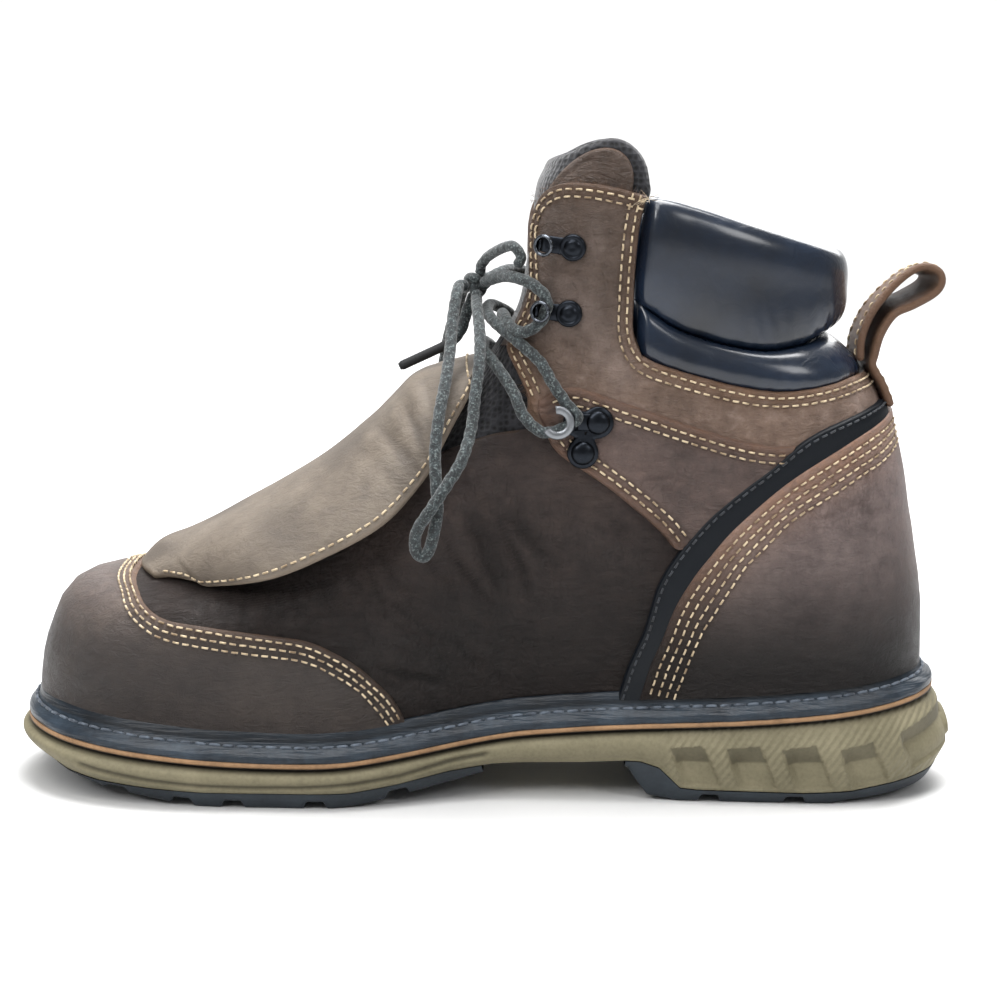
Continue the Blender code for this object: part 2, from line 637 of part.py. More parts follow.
def make_bands():
    """Quarter band that carries the lock hook, one on each side."""
    for name, side in (("quarter_band_inner", 1), ("quarter_band_outer", -1)):
        near = [1.0, 1.08, 1.16, 1.26, 1.35, 1.44, 1.52, 1.60, 1.68, 1.76, 1.82, 1.865, 1.905, 1.93,
                1.97, 2.05]
        turns = near if side > 0 else [-turn for turn in near[::-1]]
        rows = []
        for share in spread(0, 1, 3):
            rows.append([skin(turn, follow(BAND_FOOT, abs(turn)) * (1 - share)
                              + follow(BAND_TOP, abs(turn)) * share, SEAT) for turn in turns])
        finish(sheet(name, rows, PANEL, outward=True), "leather")


def make_padding(name, table):
    """Padded roll round the back of the collar."""
    columns = list(zip(*table))
    sections = []
    near = spread(table[0][0], math.pi, 10)
    for turn in near + mirror_turns(near[:-1]):
        at = turn if turn <= math.pi else 2 * math.pi - turn
        low, high, bulge, depth = (follow(list(zip(columns[0], column)), at) for column in columns[1:])
        section = []
        for k in range(PAD_SIDES):
            angle = 2 * math.pi * k / PAD_SIDES
            across, up = math.cos(angle), math.sin(angle)
            across = math.copysign(abs(across) ** .7, across)
            up = math.copysign(abs(up) ** .8, up)
            proud = (bulge - depth) / 2 + (bulge + depth) / 2 * across
            section.append(skin(turn, (low + high) / 2 + (high - low) / 2 * up, proud * COLLAR_THICK))
        sections.append(section)
    return finish(loft(name, sections), "padding")


def make_tongue():
    """Padded tongue that wraps the front of the ankle inside the cuff."""
    rows = []
    inset = -(WALL + TONGUE_GAP)
    for ring, half in TONGUE:
        rows.append([skin(turn, ring, inset) for turn in spread(-half, half, 10)])
    half = TONGUE[-1][1]
    rows.append([skin(turn, follow(TONGUE_TOP, abs(turn)), inset) for turn in spread(-half, half, 10)])
    return finish(sheet("tongue", rows, TONGUE_THICK), "mesh")


def guard_point(crest, edge, half, part):
    """Point of the guard's arch; part runs from -1 at the inner edge to 1 at the outer."""
    drop = abs(part) ** 2.2
    share = crest[0] + (edge[0] - crest[0]) * drop
    across = math.sin(part * math.pi / 2 * .92) / math.sin(math.pi / 2 * .92) * half * WIDTH
    height = feather(share) + (crest[1] + (edge[1] - crest[1]) * drop) * SHAFT
    return Vector(((share - .5) * LENGTH, across + ease(CENTRE, share) * WIDTH * .5, height))


def make_guard():
    """Leather metatarsal flap with its lining, sewn down behind the toe cap."""
    parts = spread(-1, 1, 10)
    rows = []
    for ring, half, lift in GUARD_ROOT:
        rows.append([skin(-part * half, ring, SEAT + GUARD_THICK + lift) for part in parts[::-1]])
    rows += [[guard_point(row[0:2], row[2:4], row[4], part) for part in parts[::-1]] for row in GUARD]
    finish(sheet("met_guard", rows, GUARD_THICK), "guard")

    hem = 1 - GUARD_HEM / (max(row[4] for row in GUARD) * WIDTH)
    inner = [[row_point(row, hem * part) for part in parts] for row in rows[4:-1]]
    lining = []
    for index, row in enumerate(inner):
        low, high = inner[max(index - 1, 0)], inner[min(index + 1, len(inner) - 1)]
        down = []
        for k, point in enumerate(row):
            left, right = row[max(k - 1, 0)], row[min(k + 1, len(row) - 1)]
            normal = (right - left).cross(high[k] - low[k]).normalized()
            down.append(point - normal * (GUARD_THICK + GUARD_GAP))
        lining.append(down)
    finish(sheet("met_guard_lining", lining, GUARD_LINING), "trim")


def row_point(row, part):
    """Point part of the way along a row of points, from -1 to 1."""
    place = (part + 1) / 2 * (len(row) - 1)
    index = min(int(place), len(row) - 2)
    return row[index].lerp(row[index + 1], place - index)


# Fittings


def make_pull_loop():
    """Folded leather strap: up the heel seam, over and back to the top line."""
    leg = [skin(math.pi, ring, CLEAR + LOOP_THICK / 2) for ring in LOOP_LEG]
    anchor = surface(math.pi, LOOP_LEG[-1])
    free = [Vector((anchor.x + out * LOOP_REACH, 0, anchor.z + up * LOOP_REACH)) for out, up in LOOP]
    path = leg + smooth_path(free)
    mesh = bmesh.new()
    rows = [[mesh.verts.new((p.x, side * LOOP_WIDTH / 2, p.z)) for side in (-1, 1)] for p in path]
    for low, high in zip(rows, rows[1:]):
        mesh.faces.new((low[0], low[1], high[1], high[0]))
    loop = build("pull_loop", mesh)
    solid = loop.modifiers.new("thickness", "SOLIDIFY")
    solid.thickness = LOOP_THICK
    solid.offset = 0
    return finish(loop, "cuff")


def frame_on(turn, ring, proud):
    """Placement on the skin with Z outward and -X towards the lace edge."""
    here = skin(turn, ring, proud)
    out = (skin(turn, ring, proud + MM) - here).normalized()
    away = 1 if turn > 0 else -1
    along = skin(turn + .02 * away, ring, proud) - here
    along = (along - out * along.dot(out)).normalized()
    across = out.cross(along)
    return Matrix((along, across, out)).transposed().to_4x4(), here


def disc(name, radius, low, high, top=None, place=(0, 0), collection=CUTTERS):
    """Short upright cylinder or cone."""
    mesh = bmesh.new()
    bmesh.ops.create_cone(mesh, cap_ends=True, segments=10, radius1=radius, radius2=top or radius,
                          depth=high - low)
    bmesh.ops.translate(mesh, verts=mesh.verts, vec=(*place, (low + high) / 2))
    return build(name, mesh, collection)


def bent_strip(name, profile, width, thickness):
    """Sheet metal strip bent along a side profile, its sheet inside the profile."""
    mesh = bmesh.new()
    rows = [[mesh.verts.new((x, side * width / 2, z)) for side in (-1, 1)] for x, z in profile]
    for low, high in zip(rows, rows[1:]):
        mesh.faces.new((low[0], low[1], high[1], high[0]))
    obj = build(name, mesh, CUTTERS)
    solid = obj.modifiers.new("thickness", "SOLIDIFY")
    solid.thickness = thickness
    solid.offset = 0
    return obj


def settle(obj, turn, ring, proud):
    """Stand a fitting on the skin."""
    rotation, here = frame_on(turn, ring, proud)
    obj.matrix_world = Matrix.Translation(here) @ rotation


def make_hook(name, turn, ring):
    """Speed hook: riveted base whose front end curls up and back over the lace."""
    hook = disc(name, RIVET_RADIUS, 0, RIVET_HEIGHT, collection=BOOT)
    cap = disc(name + "_cap", RIVET_CAP, 0, RIVET_HEIGHT * 2, RIVET_CAP * .75)
    bend = (LACE + 2 * CLEAR + HOOK_SHEET) / 2 + CLEAR
    middle = HOOK_SHEET / 2 + bend
    curl = [(-HOOK_REACH + bend - bend * math.sin(a), middle - bend * math.cos(a))
            for a in spread(0, math.pi * 1.02, 6)]
    strip = bent_strip(name + "_strip", [(RIVET_RADIUS * .5, HOOK_SHEET / 2), *curl,
                                         (-HOOK_REACH + bend * 1.75, middle + bend * .9)],
                       HOOK_WIDTH, HOOK_SHEET)
    for part in (cap, strip):
        cut(hook, part, "UNION")
    settle(hook, turn, ring, SEAT)
    for part in (cap, strip):
        part.matrix_world = hook.matrix_world.copy()
    return finish(hook, "metal")


def make_lock_hook(name, turn, ring, low_turn, low_ring):
    """Lock hook: plate with two rivets and a horseshoe jaw that stands over the lace."""
    proud = SEAT + PANEL + SEAT
    rotation, here = frame_on(turn, ring, proud)
    second = rotation.inverted() @ (skin(low_turn, low_ring, proud) - here)
    hook = disc(name, RIVET_RADIUS, 0, RIVET_HEIGHT, collection=BOOT)
    parts = [disc(name + "_foot", RIVET_RADIUS * .95, 0, RIVET_HEIGHT * .98, place=second[:2]),
             disc(name + "_cap", RIVET_CAP, 0, RIVET_HEIGHT * 2, RIVET_CAP * .75),
             disc(name + "_foot_cap", RIVET_CAP, .0001, RIVET_HEIGHT * 2.1, RIVET_CAP * .75, second[:2])]
    jaw_low = LACE + 6 * CLEAR
    mesh = bmesh.new()
    reach, radius, bar = HOOK_REACH * 1.12, .0037, .0013
    jaw = []
    for a in spread(-2.25, 2.25, 9):
        centre = Vector((-reach + radius * math.cos(a), radius * math.sin(a), jaw_low + bar))
        spoke = Vector((math.cos(a), math.sin(a), 0)) * bar
        jaw.append([mesh.verts.new(centre + spoke * u + Vector((0, 0, bar * w)))
                    for u, w in ((-1, -.8), (1, -.8), (1, .8), (-1, .8))])
    for low, high in zip(jaw, jaw[1:]):
        for i in range(4):
            j = (i + 1) % 4
            mesh.faces.new((low[i], low[j], high[j], high[i]))
    mesh.faces.new(jaw[0])
    mesh.faces.new(jaw[-1])
    parts.append(closed(name + "_jaw", mesh, CUTTERS))
    neck = [(second[0] * .5 + .001, HOOK_SHEET / 2 + .0001), (-RIVET_RADIUS * .9, HOOK_SHEET / 2 + .0001),
            (-RIVET_RADIUS * 1.12, jaw_low * .5), (-RIVET_RADIUS * 1.25, jaw_low + bar * .6),
            (-reach + radius * 1.1, jaw_low + bar)]
    parts.append(bent_strip(name + "_neck", neck, HOOK_WIDTH * .9, HOOK_SHEET))
    middle = Vector((second[0] / 2, second[1] / 2, 0))
    web = block(name + "_web", (RIVET_RADIUS * 1.3, second.xy.length, RIVET_HEIGHT * .9),
                middle + Vector((0, 0, RIVET_HEIGHT * .45)), math.atan2(second[1], second[0]) + math.pi / 2)
    parts.append(web)
    for part in parts:
        cut(hook, part, "UNION")
    hook.matrix_world = Matrix.Translation(here) @ rotation
    for part in parts:
        part.matrix_world = hook.matrix_world @ part.matrix_world
    return finish(hook, "metal")


def leave(way):
    """First two points of a cord that leaves the knot, its end just clear of the knot's face."""
    direction = Vector(LEAVE[way]).normalized()
    radius = 1 / math.sqrt(sum((d / size) ** 2 for d, size in zip(direction, KNOT_SIZE)))
    return [Vector(KNOT_AT) + direction * (radius + away) for away in (CLEAR, LACE / 2)]


def make_laces():
    """Laced stretch through the hooks, then the knot, its loops and its ends."""
    def place(row, flip=1):
        turn, ring, proud = row
        return skin(turn * flip, ring, proud * MM)

    near = [place(row) for row in LACE_START + LACE_UNDER + LACE_DROP + LACE_BAR]
    far = [place(row, -1) for row in LACE_START + LACE_OVER + LACE_DROP + LACE_BAR[:-1]]
    near = leave("hook") + near
    far = [Vector((p.x, -p.y, p.z)) for p in leave("hook")] + far
    tube("lace_crossings", smooth_path(near + far[::-1], 1), LACE, "lace")

    mesh = bmesh.new()
    bmesh.ops.create_uvsphere(mesh, u_segments=10, v_segments=6, radius=1)
    knot = build("lace_knot", mesh)
    knot.matrix_world = Matrix.Translation(KNOT_AT) @ Matrix.Diagonal((*KNOT_SIZE, 1))
    finish(knot, "lace")
    tube("lace_ear", smooth_path(leave("ear") + EAR), LACE * .9, "lace")
    tube("lace_bow", smooth_path(leave("bow") + BOW + leave("bow_back")[::-1], 1), LACE, "lace")
    for name, way, end, aglet in (("inner", "end_near", END_NEAR, AGLET_NEAR),
                                  ("outer", "end_far", END_FAR, AGLET_FAR)):
        tube(f"lace_end_{name}", smooth_path(leave(way) + end), LACE, "lace")
        tube(f"aglet_{name}", [Vector(p) for p in aglet], AGLET * .8, "trim")


def make_footbed():
    """Insole lying on the runner inside the upper."""
    sections = []
    for ring, lift in ((.05, CLEAR * 2), (.05 + FOOTBED / WELT_RISE * .9, CLEAR * 2 + FOOTBED)):
        section = []
        for turn in spread(0, 2 * math.pi, 32)[:-1]:
            point = skin(turn, ring, -(WALL + 5 * CLEAR))
            share = point.x / LENGTH + .5
            section.append(Vector((point.x, point.y, rand(share) + RUNNER + lift)))
        sections.append(section)
    mesh = bmesh.new()
    rows = [[mesh.verts.new(point) for point in section] for section in sections]
    count = len(rows[0])
    for i in range(count):
        j = (i + 1) % count
        mesh.faces.new((rows[0][i], rows[0][j], rows[1][j], rows[1][i]))
    for row in rows:
        for i in range(1, count // 2 - 1):
            mesh.faces.new((row[i], row[i + 1], row[count - 1 - i], row[count - i]))
        mesh.faces.new((row[0], row[1], row[count - 1]))
        mesh.faces.new((row[count // 2 - 1], row[count // 2], row[count // 2 + 1]))
    return finish(closed("insole", mesh), "footbed")


def main():
    """Build the boot from the ground up."""
    make_sole()
    make_welt(column_turns(COLUMNS)[:-1])
    make_footbed()
    make_upper(COLUMNS)
    make_toe_cap()
    make_counter()
    make_strips()
    make_bands()
    make_padding("collar_pad", COLLAR_PAD)
    make_padding("collar_roll", COLLAR_ROLL)
    make_tongue()
    make_guard()
    make_pull_loop()
    for name, away in (("inner", 1), ("outer", -1)):
        make_hook(f"hook_top_{name}", .86 * away, 17.25)
        make_hook(f"hook_mid_{name}", .91 * away, 15.95)
        make_lock_hook(f"lock_hook_{name}", 1.32 * away, 13.60, 1.33 * away, 12.80)
    make_laces()


main()
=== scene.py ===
"""Finishes and fine detail of a metatarsal guard work boot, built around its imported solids.

The toe points to -X, the inner side to -Y, up is +Z. All leather lies on one skin: turn goes
round the boot from the toe (0) by the inner side to the heel (pi), a negative turn is the outer
side, and ring climbs from the welt (0) to the top of the tongue (19).
"""
from __future__ import annotations

import logging
import math
from dataclasses import dataclass, field
from enum import Enum
from typing import Any, Sequence

import bpy
import numpy as np
from mathutils import Matrix, Vector

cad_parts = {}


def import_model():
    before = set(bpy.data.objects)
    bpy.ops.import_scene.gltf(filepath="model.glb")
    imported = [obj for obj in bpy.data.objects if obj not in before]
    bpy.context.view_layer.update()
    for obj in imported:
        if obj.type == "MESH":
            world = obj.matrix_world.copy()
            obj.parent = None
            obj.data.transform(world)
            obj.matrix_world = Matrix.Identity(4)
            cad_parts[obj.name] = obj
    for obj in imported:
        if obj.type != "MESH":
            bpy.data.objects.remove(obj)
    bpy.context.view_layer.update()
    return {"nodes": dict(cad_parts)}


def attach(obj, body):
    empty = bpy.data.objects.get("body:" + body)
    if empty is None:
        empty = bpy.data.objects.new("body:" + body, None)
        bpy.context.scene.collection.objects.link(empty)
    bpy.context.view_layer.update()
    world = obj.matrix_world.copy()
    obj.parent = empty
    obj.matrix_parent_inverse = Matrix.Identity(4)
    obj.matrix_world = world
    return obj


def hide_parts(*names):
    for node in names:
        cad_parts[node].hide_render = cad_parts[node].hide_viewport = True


MM = 0.001
BODY = "root"
LOG = logging.getLogger("boot")
Knots = Sequence[tuple[float, float]]
Array, Material, Object = np.ndarray, bpy.types.Material, bpy.types.Object
Tree, Node, Socket = bpy.types.NodeTree, bpy.types.Node, bpy.types.NodeSocket

# Ring table of the last: front, front rise, back, back rise, half widths at ball, waist and heel,
# reach of the rounding, bluntness and sideways swing, as shares of length, shaft and width
RINGS = np.array([
    (.025, -.056, .954, -.056, .428, .303, .285, .230, 2.30, 1.0),
    (.025, .000, .954, .000, .430, .305, .287, .230, 2.30, 1.0),
    (.028, .056, .953, .052, .444, .322, .303, .230, 2.40, 1.0),
    (.033, .101, .952, .083, .446, .329, .308, .225, 2.40, 1.0),
    (.041, .148, .951, .114, .442, .333, .311, .212, 2.30, .95),
    (.050, .188, .949, .146, .434, .334, .311, .200, 2.20, .9),
    (.067, .217, .947, .177, .421, .334, .309, .190, 2.10, .85),
    (.092, .235, .944, .205, .407, .332, .306, .182, 2.00, .8),
    (.128, .256, .941, .236, .393, .330, .302, .190, 2.00, .75),
    (.173, .284, .938, .270, .378, .327, .297, .200, 2.00, .7),
    (.225, .330, .934, .311, .360, .323, .291, .196, 2.00, .6),
    (.283, .389, .930, .358, .338, .318, .284, .180, 2.00, .5),
    (.341, .461, .924, .415, .320, .314, .278, .164, 2.00, .4),
    (.396, .538, .917, .470, .310, .309, .273, .146, 2.00, .3),
    (.448, .619, .909, .526, .305, .304, .270, .130, 2.10, .2),
    (.484, .700, .888, .604, .300, .296, .263, .118, 2.20, .1),
    (.510, .788, .851, .688, .295, .291, .223, .105, 2.40, 0),
    (.521, .886, .840, .771, .300, .300, .218, .098, 2.60, 0),
    (.526, 1.00, .845, .851, .309, .309, .236, .098, 2.70, 0),
    (.542, 1.10, .845, .940, .309, .309, .236, .098, 2.70, 0),
])
RAND = np.array([(0, .577), (.065, .504), (.16, .431), (.26, .379), (.35, .388), (.43, .466),
                 (.53, .589), (.63, .668), (.77, .741), (.87, .831), (.95, .930), (1, 1.0)])
RUBBER = np.array([
    (0, .33), (.036, .291), (.064, .222), (.10, .187), (.157, .165), (.21, .150), (.36, .155),
    (.41, .213), (.46, .294), (.505, .338), (.56, .352), (.60, .361), (.645, .385), (.66, .380),
    (.68, .324), (.702, .137), (.72, .122), (.83, .112), (.88, .132), (.90, .160), (.935, .198),
    (.96, .227), (1, .262)])
CENTRE = np.array([(0, -.036), (.3, 0), (.545, .032), (.82, .005), (1, 0)])


class Side(Enum):
    """The two sides of the boot, as the sign of the turn."""

    INNER = 1
    OUTER = -1


# Numbers


def over_heel(knots: Knots) -> list[tuple[float, float]]:
    """Knots of the inner side carried on round the heel to the outer side."""
    return [(2 * math.pi - turn, ring) for turn, ring in knots]


def linear(colour: str) -> tuple[float, float, float, float]:
    """Turn an sRGB hex colour into a linear one.

    Args:
        colour: Text such as "#564640".

    Returns:
        Red, green, blue and alpha from 0 to 1.
    """
    parts = [int(colour[i:i + 2], 16) / 255 for i in (1, 3, 5)]
    red, green, blue = (c / 12.92 if c <= .04045 else ((c + .055) / 1.055) ** 2.4 for c in parts)
    return red, green, blue, 1.0


def follow(table: Array, at: Any) -> Array:
    """Smooth value of a two column table, straight beyond its ends.

    Args:
        table: Rows of place and value, places rising.
        at: Places to read.

    Returns:
        The values at the places.
    """
    table, at = np.asarray(table, float), np.asarray(at, float)
    xs, ys = table[:, 0], table[:, 1]
    order = np.arange(len(xs))
    low, high = np.maximum(order - 1, 0), np.minimum(order + 1, len(xs) - 1)
    slope = (ys[high] - ys[low]) / (xs[high] - xs[low])
    k = np.clip(np.searchsorted(xs, at, side="right") - 1, 0, len(xs) - 2)
    span = xs[k + 1] - xs[k]
    t = (at - xs[k]) / span
    value = ((2 * t ** 3 - 3 * t ** 2 + 1) * ys[k] + (3 * t ** 2 - 2 * t ** 3) * ys[k + 1]
             + (t ** 3 - 2 * t ** 2 + t) * span * slope[k] + (t ** 3 - t ** 2) * span * slope[k + 1])
    value = np.where(at < xs[0], ys[0] + slope[0] * (at - xs[0]), value)
    return np.where(at > xs[-1], ys[-1] + slope[-1] * (at - xs[-1]), value)


def ease(table: Array, at: Array) -> Array:
    """Value of a table whose rows are level stops joined by cosine ramps.

    Args:
        table: Rows of place and value.
        at: Places to read.

    Returns:
        The values, level beyond the ends.
    """
    value = np.full(np.shape(at), table[0][1], float)
    for (x0, y0), (x1, y1) in zip(table, table[1:]):
        part = np.clip((at - x0) / (x1 - x0), 0, 1)
        value = value + (y1 - y0) * (1 - np.cos(np.pi * part)) / 2
    return value


def smoothstep(low: float, high: float, at: Array) -> Array:
    """Soft step from 0 at low to 1 at high."""
    t = np.clip((at - low) / (high - low), 0, 1)
    return t * t * (3 - 2 * t)


def circle(count: int) -> Array:
    """Angles of a full circle's even parts."""
    return np.linspace(0, 2 * np.pi, count, endpoint=False)


def run_of(line: Array) -> Array:
    """Distance run along a line at each of its points."""
    return np.concatenate([[0], np.cumsum(np.linalg.norm(np.diff(line, axis=0), axis=1))])


def to_lines(points: Array, line: Array) -> tuple[Array, Array]:
    """Distance of points to a line of straight pieces, and how far along it the nearest spot is.

    Args:
        points: Points, one per row.
        line: Corners of the line, one per row.

    Returns:
        Distances, and shares of the line's length.
    """
    start, step = line[:-1], np.diff(line, axis=0)
    size = (step ** 2).sum(1) + 1e-18
    cum = np.concatenate([[0], np.cumsum(np.sqrt(size))])
    best = np.full(len(points), 1e9)
    share = np.zeros(len(points))
    for a, d, q, c in zip(start, step, size, cum):
        t = np.clip(((points - a) @ d) / q, 0, 1)
        gap = np.sqrt((((a + t[:, None] * d) - points) ** 2).sum(1))
        near = gap < best
        best = np.where(near, gap, best)
        share = np.where(near, (c + t * math.sqrt(q)) / cum[-1], share)
    return best, share


def smooth_line(points: Any, step: float) -> Array:
    """Evenly spaced points on a smooth curve through the given ones.

    Args:
        points: Points that the curve passes.
        step: Distance between the new points, in metres.

    Returns:
        The new points, one per row.
    """
    points = np.asarray(points, float)
    ends = np.vstack([points[0] * 2 - points[1], points, points[-1] * 2 - points[-2]])
    t = np.linspace(0, 1, 24, endpoint=False)[:, None]
    fine = [(b * 2 + (c - a) * t + (a * 2 - b * 5 + c * 4 - d) * t ** 2
             + (b * 3 - a - c * 3 + d) * t ** 3) / 2
            for a, b, c, d in zip(ends, ends[1:], ends[2:], ends[3:])]
    line = np.vstack([*fine, points[-1:]])
    cum = run_of(line)
    count = max(2, int(round(cum[-1] / step)) + 1)
    at = np.linspace(0, cum[-1], count)
    return np.stack([np.interp(at, cum, line[:, k]) for k in range(line.shape[1])], 1)


def normalised(vectors: Array) -> Array:
    """Vectors scaled to length one."""
    return vectors / np.maximum(np.linalg.norm(vectors, axis=-1, keepdims=True), 1e-12)


# The last and its creases


@dataclass(frozen=True)
class Crease:
    """Soft trough worn into the leather, or a ridge where its depth is negative.

    Its path is in millimetres seen from the side: x along the boot and z up.
    """

    path: Knots
    width: float
    depth: float


CREASES = [Crease(path, width, depth) for path, width, depth in (
    # Flex folds fanning over the vamp
    ([(-3, 79), (0, 74), (3, 67)], .9, .35), ([(1, 93), (5, 84), (10, 74), (12, 64)], 1.0, .50),
    ([(4, 93), (9, 87), (12, 84), (16, 80)], .9, .40), ([(6, 84), (10, 77), (12, 69)], .8, .40),
    ([(-8, 89), (-4, 84), (-2, 79)], .8, .30), ([(-5, 99), (1, 93)], .9, .25),
    ([(13, 84), (18, 79), (23, 74)], 1.0, .28), ([(-9, 95), (0, 80), (7, 64)], 4.5, 1.0),
    ([(3, 97), (14, 84), (20, 70)], 3.5, .7), ([(-1, 90), (5, 80), (10, 66)], 2.2, -.55),
    ([(22, 92), (32, 84), (44, 78)], 6.0, -.8), ([(37, 94), (39, 89), (42, 84)], .7, .25),
    ([(41, 90), (44, 84)], .7, .25), ([(39, 93), (43, 86)], 3.0, .3),
    # Break of the forefoot, low on the side
    ([(-34, 68), (-27, 61), (-18, 55), (-13, 52)], 1.0, .45),
    ([(-34, 65), (-28, 58), (-19, 54), (-15, 47)], 1.0, .40), ([(-28, 66), (-21, 60), (-13, 58)], .9, .30),
    ([(-36, 61), (-26, 53), (-16, 48)], 2.6, -.6), ([(-13, 54), (-7, 47), (-1, 42), (4, 37)], 1.1, .40),
    ([(-20, 50), (-11, 44), (-3, 38)], 1.0, .25), ([(-36, 45), (-24, 41), (-12, 38)], 1.2, .7),
    ([(-32, 40), (-26, 35)], .9, .35), ([(-29, 42), (-22, 36)], .8, .3),
    # Fine wrinkles of the band, the eyestay and the counter
    ([(42, 107), (47, 108), (52, 107)], .7, .22), ([(45, 103), (55, 105), (61, 102)], .8, .26),
    ([(44, 106), (49, 107)], .6, .20), ([(51, 101), (59, 101)], .7, .22), ([(47, 110), (56, 110)], .6, .18),
    ([(105, 94), (116, 98), (125, 101)], 2.0, .45), ([(102, 92), (109, 94)], 1.0, .25),
    ([(113, 93), (125, 95)], 1.4, .35), ([(108, 97), (121, 101)], 2.0, -.3),
    ([(19, 149), (23, 145), (29, 141)], .7, .35), ([(20, 150), (24, 147), (30, 143)], .7, .30),
    ([(23, 150), (27, 148), (31, 145)], .7, .28), ([(19, 146), (23, 142), (27, 139)], .8, .25),
    ([(17, 162), (24, 163), (31, 161)], .9, .25), ([(15, 168), (24, 169)], .8, .18),
    ([(28, 176), (34, 160), (33, 148)], 3.0, .35),
    # Puckers below the guard
    ([(-85, 68), (-85, 60)], 1.0, .30), ([(-77, 69), (-76, 59)], 1.1, .40),
    ([(-70, 70), (-68, 59)], 1.0, .35), ([(-62, 71), (-59, 60)], 1.1, .40),
    ([(-53, 74), (-49, 62)], 1.1, .35), ([(-45, 78), (-40, 66)], 1.2, .30),
    ([(-89, 66), (-90, 58)], .8, .22), ([(-81, 68), (-81, 58)], .8, .28), ([(-73, 69), (-72, 61)], .8, .22),
    ([(-66, 70), (-64, 57)], .8, .30), ([(-57, 72), (-55, 63)], .8, .25), ([(-49, 74), (-46, 60)], .9, .30),
    ([(-40, 78), (-33, 62)], 1.0, .35), ([(-35, 82), (-29, 70), (-20, 62)], 1.0, .35),
    ([(-24, 86), (-18, 74), (-8, 66)], 1.0, .30), ([(-17, 88), (-10, 76), (-2, 66), (4, 60)], 1.0, .38),
    ([(14, 94), (20, 84), (22, 72)], 1.0, .28), ([(-3, 60), (6, 52), (16, 47)], 1.0, .25),
)]


